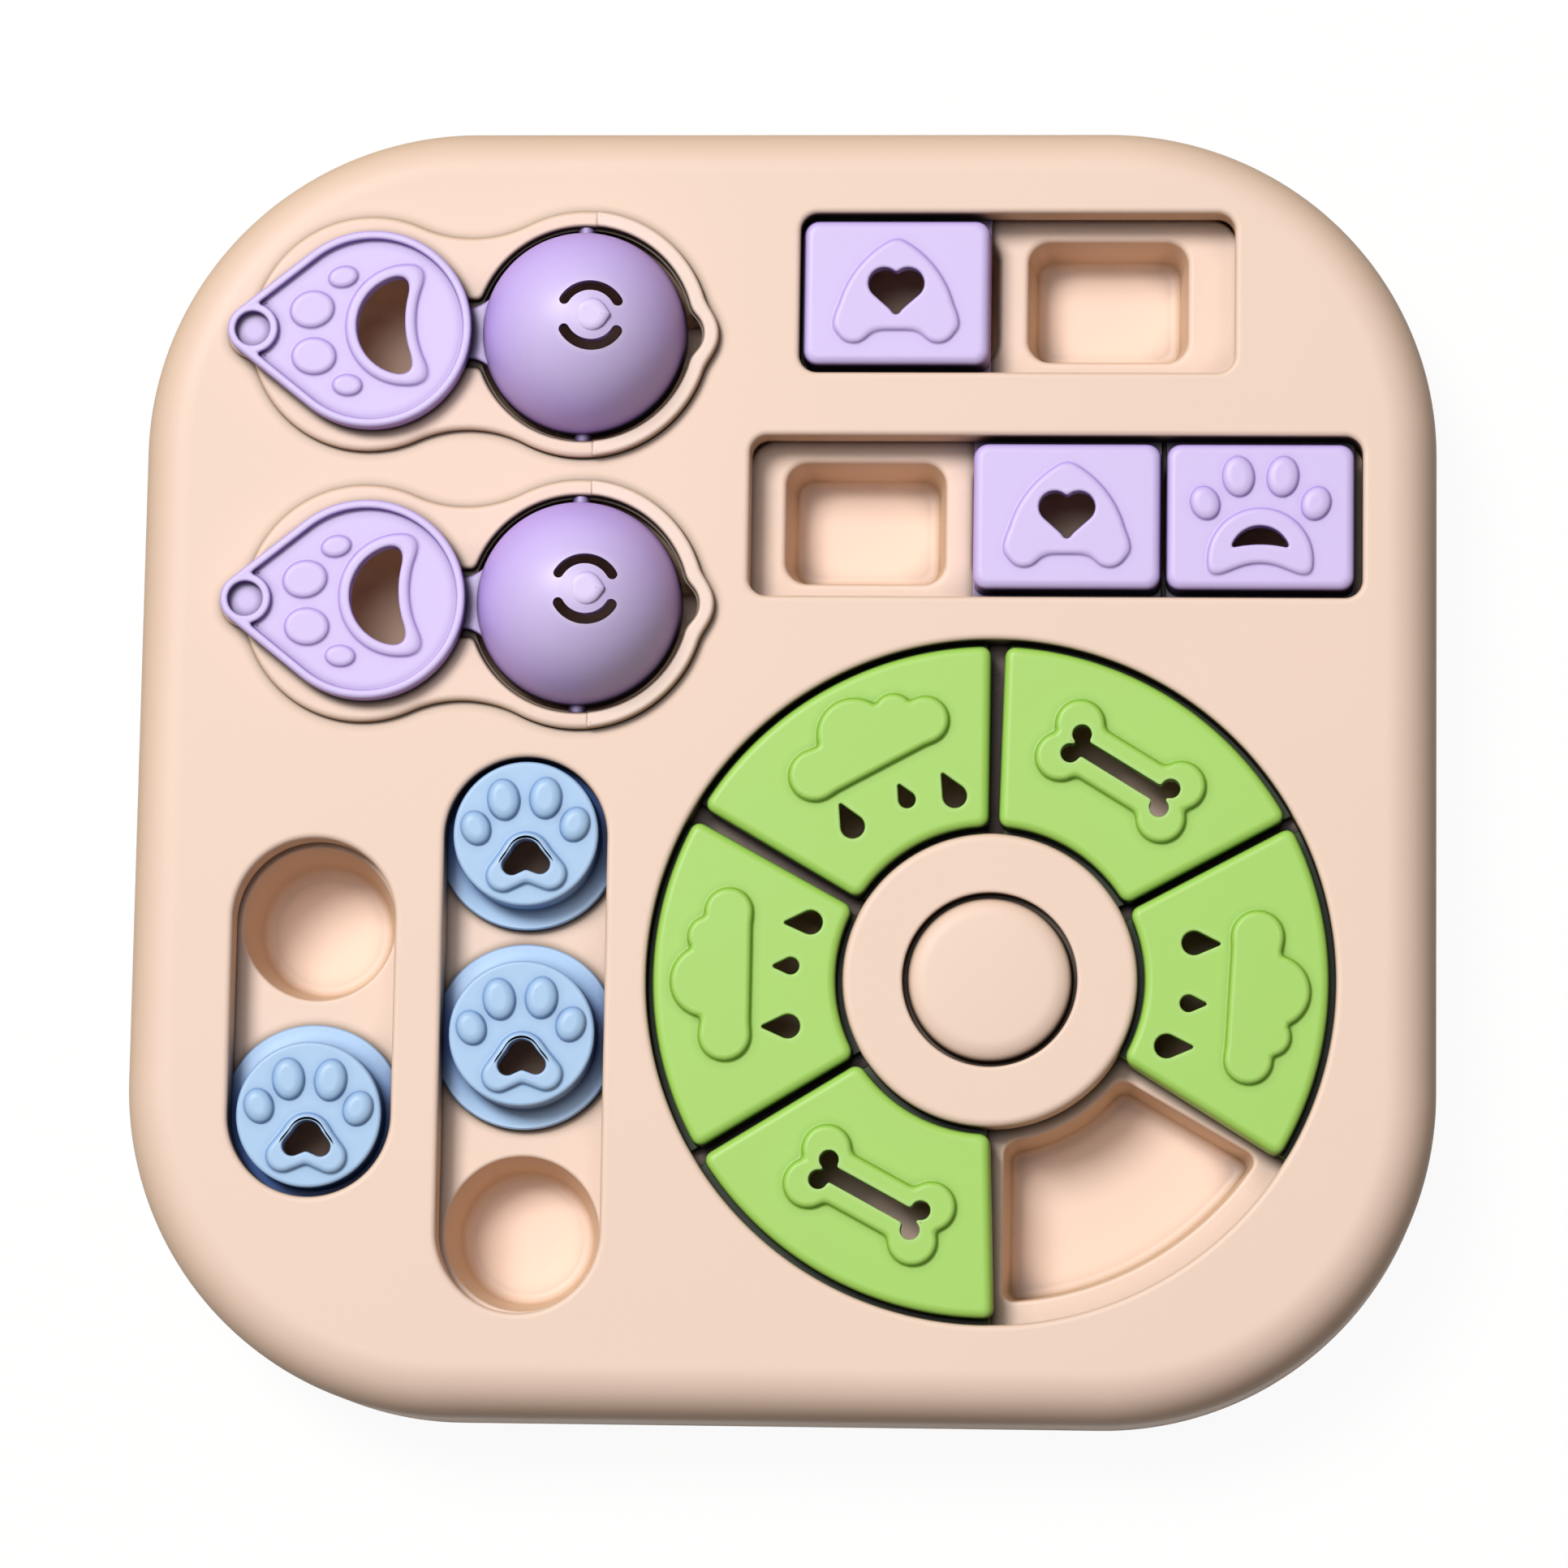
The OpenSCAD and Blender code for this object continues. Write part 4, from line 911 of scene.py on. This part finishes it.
def block(at, figure):
    """Hollow block with a flange, from the hollow's ceiling down and round to the top face."""
    shape = Shape()
    depth = 29.6
    edge_r = 1.8
    steps = [(33.0, 25.0, 1.2, HOLLOW_Z), (33.6, 25.6, 1.5, HOLLOW_Z), (33.6, 25.6, 1.5, FLANGE_Z),
             (37.2, 36.1, 1.0, FLANGE_Z), (37.6, 36.5, 1.2, FLANGE_Z + 0.2), (37.6, 36.5, 1.2, 28.05),
             (37.3, 36.2, 1.1, FLANGE_TOP), (37.25, depth + 0.3, 2.2, FLANGE_TOP), (37.2, depth, 2.2, 28.6)]
    for inset, z in quarter(0, COVER_TOP - edge_r, edge_r, edge_r, 11):
        steps.append((37.4 - 2 * inset, depth - 2 * inset, 3.0 - 0.8 * inset, z))
    steps.append((33.3, depth - 4.1, 1.4, COVER_TOP))
    low, top = shape.stack([(Rounded(w, d, r, n=8).at(0), z) for w, d, r, z in steps])
    figure_top = COVER_TOP + RELIEF
    if figure == "heart":
        a, b = soft_hole(shape, box_of(heart(), (0, 0), 8), figure_top, HOLLOW_Z)
        holes = [raised(shape, box_of(heart_pad(), (0, 0), 15), COVER_TOP, [a])]
    else:
        moon = common(0.9, disc((0, -8), 6.0), outside(disc((0, -29.8), 24)))
        a, b = soft_hole(shape, box_of(moon, (0, -4), 9), figure_top, HOLLOW_Z, 0.4)
        arch = common(1.8, disc((0, -8.9), 10.5), outside(disc((0, -21.2), 11.6)), half_plane(0, -1, 12.0))
        holes = [raised(shape, box_of(arch, (0, -5), 14), COVER_TOP, [a])]
        for f in toes((4.4, 8.0), (11, 2.6)):
            holes.append(raised(shape, box_of(f, (0, 4), 15), COVER_TOP, (), 1.15, PILLOW))
    shape.cap(top, holes)
    shape.cap(low, [b])
    shape.place(at)
    return shape


def slide_disc(at, turn):
    """Hollow disc with a flange and a paw."""
    shape = Shape()
    profile = [(12.2, HOLLOW_Z), (12.7, HOLLOW_Z), (12.7, FLANGE_Z), (18.2, FLANGE_Z), (18.5, FLANGE_Z + 0.3)]
    profile += [(18.5, 27.9), (18.2, FLANGE_TOP), (14.9, FLANGE_TOP), (14.6, 28.4), (14.5, 28.8)]
    profile += curve(13.8, 34.3, 0.7, 0, 90, 7) + [(13.65, COVER_TOP)]
    low, top = shape.lathe(profile, (0, 0), 96)
    hole_at = (0, -4.65)
    palm_at = (0, -5.4)
    palm_h = 1.2
    toe_h = 1.5
    cut = box_of(moved(palm(0.6), hole_at), hole_at, 7)
    a, b = soft_hole(shape, cut, COVER_TOP + palm_h, HOLLOW_Z, 0.4)
    holes = [raised(shape, box_of(moved(palm(1.0), palm_at), palm_at, 12), COVER_TOP, [a], palm_h)]
    for f in toes((4.2, 6.9), (9.9, 1.4)):
        holes.append(raised(shape, box_of(f, (0, 4), 14), COVER_TOP, (), toe_h, PILLOW))
    shape.cap(top, holes)
    shape.cap(low, [b])
    shape.place(at, turn)
    return shape


def bone(length, spread, lobe, shaft, soft):
    parts = [slab(shaft, length, 0.4)]
    for sx in (-1, 1):
        for sy in (-1, 1):
            parts.append(disc((sx * spread / 2, sy * length / 2), lobe))
    return join(soft, *parts)


def cloud():
    puffs = [((52.4, 10.4), 5.0), ((55.8, -0.3), 7.3), ((55.6, -9.2), 4.0), ((51.4, -14.0), 4.6)]
    body = bar((52.4, 10.4), (51.4, -14.0), 5.0, 4.6)
    return join(0.8, body, *[disc(at, r) for at, r in puffs])


def drop(at, length, width):
    r = width / 2
    return bar((at[0] - length / 2 + r, at[1]), (at[0] + length / 2 - 0.3, at[1]), r, 0.3)


def wedge(turn, figure):
    """Hollow wedge of the wheel with a flange, and a bone or a cloud with drops."""
    shape = Shape()
    middle = (48.6, 0)
    cavity = Polar(sector(32.6, 64.6, 3.6, 1.0), middle)
    flange = Polar(sector(26.4, 69.8, 1.4, 0.6), middle)
    body = Polar(sector(30.4, 66.8, 0.6, 2.2), middle)
    steps = [(cavity, -0.5, HOLLOW_Z), (cavity, 0, HOLLOW_Z), (cavity, 0, FLANGE_Z), (flange, -0.2, FLANGE_Z),
             (flange, 0, FLANGE_Z + 0.2), (flange, 0, 28.05), (flange, -0.2, FLANGE_TOP),
             (body, -0.1, FLANGE_TOP), (body, 0, 28.5)]
    steps += [(body, d, z) for d, z in curve(-1.7, 33.3, 1.7, 0, 90, 8) + [(-2.0, COVER_TOP)]]
    low, top = shape.stack([(outline.at(d), z) for outline, d, z in steps])
    figure_h = 1.4
    if figure == "bone":
        bone_at = (48.7, 0)
        cut = Traced(moved(bone(20.6, 4.4, 1.9, 3.3, 0.8), bone_at), (42, -16), (56, 16), 0.2, 0.3)
        a, b = soft_hole(shape, cut, COVER_TOP + figure_h, HOLLOW_Z, 0.25)
        pad = Traced(moved(bone(23.4, 7.6, 4.9, 11, 1.2), bone_at), (38, -20), (60, 20), 0.25, 0.35)
        upper = [raised(shape, pad, COVER_TOP, [a], figure_h)]
        lower = [b]
    else:
        pad = Traced(cloud(), (44, -23), (66, 18), 0.25, 0.35)
        upper = [raised(shape, pad, COVER_TOP, (), figure_h)]
        lower = []
        for at, length, width in (
            ((41.3, 8.8), 7.6, 4.8),
            ((40.2, -3.2), 5.2, 3.4),
            ((36.7, -11.8), 7.6, 4.8),
        ):
            a, b = soft_hole(shape, box_of(drop(at, length, width), at, 6), COVER_TOP, HOLLOW_Z, 0.35)
            upper.append(a)
            lower.append(b)
    shape.cap(top, upper)
    shape.cap(low, lower)
    shape.place(WHEEL, turn)
    return shape


# Flip lids

def bean(grow):
    """The hole in a plate, with round ends, or the raised pad round it."""
    belly = disc((7.1 + PLATE_X, 0.5), 10.2 + grow)
    hollow = disc((28.7 + PLATE_X, 0.5), 22.0 - grow)
    return turned(common(4.5, belly, outside(hollow)), PLATE_TURN, (PLATE_X, 0))


def lid_plate(shape):
    """Teardrop plate with a rim, a blind hole at its tip, and a paw round the bean-shaped hole."""
    tip = (PLATE_X - 24.0, 0)
    tip_r = 5.1
    teardrop = bar((PLATE_X, 0), tip, 20.1, tip_r)
    rim_top = PLATE_Z + 4.2
    face_z = rim_top - 1.5
    profile = [(-1.0, PLATE_Z)] + curve(-0.7, PLATE_Z + 0.7, 0.7, -90, 0, 5)
    profile += curve(-0.75, rim_top - 0.75, 0.75, 0, 90, 6)
    low, edge = shape.loft(Traced(teardrop, (-75, -22), (-20, 22), 0.4, 0.5), profile)
    face = common(0.8, grown(teardrop, -1.7), outside(disc(tip, tip_r)))
    profile = curve(0.5, rim_top - 0.5, 0.5, 90, 180, 5)
    profile += [(0, face_z + 0.4), (-0.12, face_z + 0.12), (-0.4, face_z), (-0.65, face_z)]
    inner, floor = shape.loft(Traced(face, (-72, -20), (-22, 20), 0.3, 0.4), profile)
    profile = curve(0.45, rim_top - 0.45, 0.45, 90, 180, 5) + [(0, face_z - 0.4), (-0.2, face_z - 0.6)]
    hole, blind = shape.loft(Circle(3.5, tip, 48), profile)
    shape.cap(blind)
    shape.cap(edge, [inner, hole])
    cut = Traced(bean(0), (-48, -14), (-28, 14), 0.25, 0.35)
    a, b = soft_hole(shape, cut, face_z + RELIEF, PLATE_Z, 0.5)
    holes = [raised(shape, Traced(bean(2.2), (-52, -16), (-26, 16), 0.25, 0.4), face_z, [a])]
    for s in (-1, 1):
        for at, size in (((-11.9, s * 4.8), (8.9, 7.5)), ((-5.4, s * 11.1), (6.0, 4.3))):
            f = turned(oval((PLATE_X + at[0], at[1]), size, s * 8), PLATE_TURN, (PLATE_X, 0))
            holes.append(raised(shape, Traced(f, (-62, -16), (-42, 16), 0.2, 0.3), face_z))
    shape.cap(floor, holes)
    shape.cap(low, [b])


def lid_neck(shape):
    """The bridge between plate and dome, wider at the dome."""
    under = 35.35
    sections = []
    for x in np.linspace(-25.0, -19.2, 11):
        t = max((x + 23.4) / 4.2, 0)
        half = 5.2 + 1.6 * t * t
        top = 37.6 + 0.6 * t * t
        outline = Rounded(2 * half, top - under, 0.8, (0, (top + under) / 2), 5).at(0)
        sections.append([(x, y, z) for y, z in outline])
    shape.rod(sections)


def arc_slot(mid, half, open_angle):
    """An arc of radius mid round +Y, with round ends at the open angle to each side."""
    end = np.array([math.cos(math.radians(open_angle)), math.sin(math.radians(open_angle))]) * mid

    def f(p):
        x = np.abs(p[..., 0])
        y = p[..., 1]
        a = np.degrees(np.arctan2(x, y))
        inner = np.abs(np.hypot(x, y) - mid) - half
        outer = np.hypot(x - end[1], y - end[0]) - half
        return np.where(a < open_angle, inner, outer)
    return f


def arc(r, first, last, n):
    """Points of a dome's section, by radius and height, between two angles in degrees."""
    return [(r * math.cos(a), PIVOT_Z + r * math.sin(a)) for a in np.linspace(*np.radians([first, last]), n)]


def flip_lid(name, at):
    """Dome with two slits and a pad, hinge pins, neck and plate."""
    dome = Shape()
    crown = 89.2
    skirt = [(DOME_INNER_R, 32.5), (19.0, 32.3), (20.4, 32.3), (DOME_R, 32.5)]
    dome.spin(arc(DOME_INNER_R, crown, 0, 36) + skirt + arc(DOME_R, 0, crown, 40), (0, 0), 128)
    slits_at = (2.9, 0)
    slit = Traced(arc_slot(6.0, 1.05, 60), (-9, -2), (9, 9), 0.15, 0.3)
    cutter = Shape()
    for turn in (0, 180):
        start = len(cutter.points)
        cutter.solid(slit, [(0, 48), (0, 58)])
        cutter.place(slits_at, turn, start)
    shape = cut_away(dome, cutter)
    pad = join(0.8, disc(slits_at, 3.4), bar((3.2, 0), (6.1, 0), 2.7, 0.7))
    profile = [(0, 53.4), (0, 54.4), (-0.15, 54.7), (-0.45, 54.93), (-0.9, 55.06), (-1.5, 55.1)]
    shape.solid(Traced(pad, (-2, -5), (9, 5), 0.15, 0.3), profile)
    pin = [(19.4, 1.8), (23.7, 1.8), (23.9, 1.7), (24.0, 1.5)]
    for s in (-1, 1):
        shape.rod([[(x, s * y, z) for x, z in ring_of(r, (0, PIVOT_Z), 32)] for y, r in pin])
    lid_plate(shape)
    lid_neck(shape)
    shape.place(at)
    return make(name, shape, name, LILAC, [name])


def cut_away(target, cutter):
    """The target with the cutter taken away, as a new shape."""
    objects = []
    for part in (target, cutter):
        mesh = bpy.data.meshes.new("scratch")
        mesh.from_pydata(part.points, [], part.faces)
        bm = bmesh.new()
        bm.from_mesh(mesh)
        bmesh.ops.remove_doubles(bm, verts=bm.verts, dist=1e-4)
        bmesh.ops.recalc_face_normals(bm, faces=bm.faces)
        bm.to_mesh(mesh)
        bm.free()
        ob = bpy.data.objects.new("scratch", mesh)
        bpy.context.scene.collection.objects.link(ob)
        objects.append(ob)
    mod = objects[0].modifiers.new("cut", "BOOLEAN")
    mod.operation = "DIFFERENCE"
    mod.solver = "EXACT"
    mod.object = objects[1]
    bpy.context.view_layer.update()
    result = objects[0].evaluated_get(bpy.context.evaluated_depsgraph_get()).to_mesh()
    shape = Shape()
    shape.points = [tuple(v.co) for v in result.vertices]
    shape.faces = [tuple(f.vertices) for f in result.polygons]
    for ob in objects:
        mesh = ob.data
        bpy.data.objects.remove(ob)
        bpy.data.meshes.remove(mesh)
    return shape


# Pieces

for name, shape, node in (
    ("cover_shell", top_cover(), "top_cover"),
    ("pan_shell", bottom_pan(), "bottom_pan"),
    ("rear_slot_floor", block_tray(REAR_SLOT, 87, [-20.1, 18.1]), "rear_block_tray"),
    ("front_slot_floor", block_tray(FRONT_SLOT, 122, [-38.2, 0, 38.2]), "front_block_tray"),
    ("left_disc_floor", disc_tray(LEFT_SLOT, [-19.5, 19.5]), "left_disc_tray"),
    ("right_disc_floor", disc_tray(RIGHT_SLOT, [-39, 0, 39]), "right_disc_tray"),
    ("wheel_floor", wheel_tray(), "wheel_tray"),
    ("rear_lid_bowl", lid_tray(REAR_LID), "rear_lid_tray"),
    ("front_lid_bowl", lid_tray(FRONT_LID), "front_lid_tray"),
    ("rear_lid_frame", lid_seat(REAR_LID), "rear_lid_seat"),
    ("front_lid_frame", lid_seat(FRONT_LID), "front_lid_seat"),
    ("hub_collar", hub_ring(), "hub_ring"),
):
    make(name, shape, "tray", BEIGE, [node])
make("squeak_cap", squeak_button(), "squeak_button", BEIGE, ["squeak_button"])
bulb = make("bulb", squeaker_bulb(), "tray", RUBBER, ["squeaker_bulb"])
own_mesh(bulb)
make("reed", squeaker_reed(), "tray", WHITE, ["squeaker_reed"])
make("pan_screws", screws(POSTS, 4.5), "tray", STEEL, ["cover_screws"])
hub_places = []
for turn in (90, 210, 330):
    a = math.radians(turn)
    hub_places.append((WHEEL[0] + 22.4 * math.cos(a), WHEEL[1] + 22.4 * math.sin(a)))
make("collar_screws", screws(hub_places, 20.0), "tray", STEEL, ["hub_screws"])
make("feet", rubber_feet(), "tray", FOOT, ["rubber_feet"])
flip_lid("rear_flip_lid", REAR_LID)
flip_lid("front_flip_lid", FRONT_LID)
for node, at, figure in (
    ("rear_block", (21.8, 95.5), "heart"),
    ("front_block_middle", (56.4, 50.0), "heart"),
    ("front_block_right", (94.8, 50.0), "paw"),
):
    make(node + "_skin", block(at, figure), node, LILAC, [node])
for node, at, turn in (
    ("left_disc", (-92.5, -71.0), -1.0),
    ("right_disc_rear", (-50.5, -14.6), 2.5),
    ("right_disc_middle", (-50.5, -54.5), 2.5),
):
    make(node + "_skin", slide_disc(at, turn), node, BLUE, [node])
for node, (turn, figure) in WEDGES.items():
    make(node + "_skin", wedge(turn, figure), node, GREEN, [node])


# Stage, light and camera

scene = bpy.context.scene
scene.view_settings.view_transform = "Standard"


def backdrop():
    """Floor that looks white to the camera and in reflections, and lights the part like a darker one."""
    half = 6.0
    z = -0.0001
    mesh = bpy.data.meshes.new("floor")
    corners = [(-half, -half, z), (half, -half, z), (half, half, z), (-half, half, z)]
    mesh.from_pydata(corners, [], [(0, 1, 2, 3)])
    floor = bpy.data.objects.new("floor", mesh)
    scene.collection.objects.link(floor)
    mat = bpy.data.materials.new("floor")
    mat.use_nodes = True
    tree = mat.node_tree

    def sum_of(a, b):
        node = tree.nodes.new("ShaderNodeMath")
        node.operation = "ADD"
        node.use_clamp = True
        tree.links.new(a, node.inputs[0])
        tree.links.new(b, node.inputs[1])
        return node.outputs[0]

    path = tree.nodes.new("ShaderNodeLightPath").outputs
    seen = sum_of(sum_of(path["Is Camera Ray"], path["Is Glossy Ray"]), path["Is Transmission Ray"])
    shader = tree.nodes["Principled BSDF"]
    shader.inputs["Roughness"].default_value = 0.9
    shader.inputs["Specular IOR Level"].default_value = 0.0
    ground = tree.nodes.new("ShaderNodeMix")
    ground.data_type = "RGBA"
    ground.inputs["A"].default_value = (0.2, 0.16, 0.125, 1)
    ground.inputs["B"].default_value = (0.35, 0.33, 0.31, 1)
    tree.links.new(seen, ground.inputs["Factor"])
    tree.links.new(ground.outputs["Result"], shader.inputs["Base Color"])
    glow = tree.nodes.new("ShaderNodeEmission")
    glow.inputs["Strength"].default_value = 1.15
    share = tree.nodes.new("ShaderNodeMath")
    share.operation = "MULTIPLY"
    share.inputs[1].default_value = 0.82
    tree.links.new(seen, share.inputs[0])
    mix = tree.nodes.new("ShaderNodeMixShader")
    tree.links.new(share.outputs[0], mix.inputs[0])
    tree.links.new(shader.outputs[0], mix.inputs[1])
    tree.links.new(glow.outputs[0], mix.inputs[2])
    tree.links.new(mix.outputs[0], tree.nodes["Material Output"].inputs["Surface"])
    mesh.materials.append(mat)


def sky():
    world = bpy.data.worlds.new("studio")
    world.use_nodes = True
    tree = world.node_tree
    back = tree.nodes["Background"]
    warm = tree.nodes.new("ShaderNodeMix")
    warm.data_type = "RGBA"
    warm.inputs["A"].default_value = (1, 0.86, 0.86, 1)
    warm.inputs["B"].default_value = (1, 1, 1, 1)
    path = tree.nodes.new("ShaderNodeLightPath")
    level = tree.nodes.new("ShaderNodeMapRange")
    level.inputs["To Min"].default_value = 0.08
    level.inputs["To Max"].default_value = 1.0
    tree.links.new(path.outputs["Is Camera Ray"], level.inputs["Value"])
    tree.links.new(path.outputs["Is Camera Ray"], warm.inputs["Factor"])
    tree.links.new(warm.outputs["Result"], back.inputs["Color"])
    tree.links.new(level.outputs["Result"], back.inputs["Strength"])
    scene.world = world


def lamp(name, at, target, size, power):
    data = bpy.data.lights.new(name, "AREA")
    data.shape = "DISK"
    data.size = size
    data.energy = power
    ob = bpy.data.objects.new(name, data)
    ob.location = at
    ob.rotation_euler = (Vector(target) - Vector(at)).to_track_quat("-Z", "Y").to_euler()
    scene.collection.objects.link(ob)


def photo_camera():
    """Camera above the tray that leans a little to the front and to the right."""
    lean_y = math.radians(8.37)
    lean_x = math.radians(3.77)
    roll = math.radians(0.91)
    target = Vector((0.00012, -0.00289, 0.025))
    distance = 1.262
    photo_px = 1932
    focal_px = 7775
    n = Vector((math.sin(lean_x), -math.sin(lean_y), 0))
    n.z = math.sqrt(1 - n.x * n.x - n.y * n.y)
    right = Vector((0, 1, 0)).cross(n).normalized()
    up = n.cross(right)
    x = math.cos(roll) * right + math.sin(roll) * up
    y = -math.sin(roll) * right + math.cos(roll) * up
    place = target + n * distance
    data = bpy.data.cameras.new("photo")
    data.sensor_width = 36
    data.sensor_fit = "AUTO"
    data.lens = 36 * focal_px / photo_px
    ob = bpy.data.objects.new("photo", data)
    ob.matrix_world = Matrix(((*x, 0), (*y, 0), (*n, 0), (*place, 1))).transposed()
    scene.collection.objects.link(ob)
    scene.camera = ob


backdrop()
sky()
lamps_aim = (0, 0, 0.02)
lamp("key", (-2.9, 3.0, 6.8), lamps_aim, 2.8, 485)
lamp("overhead", (-0.4, 0.6, 3.2), lamps_aim, 1.6, 28)
photo_camera()
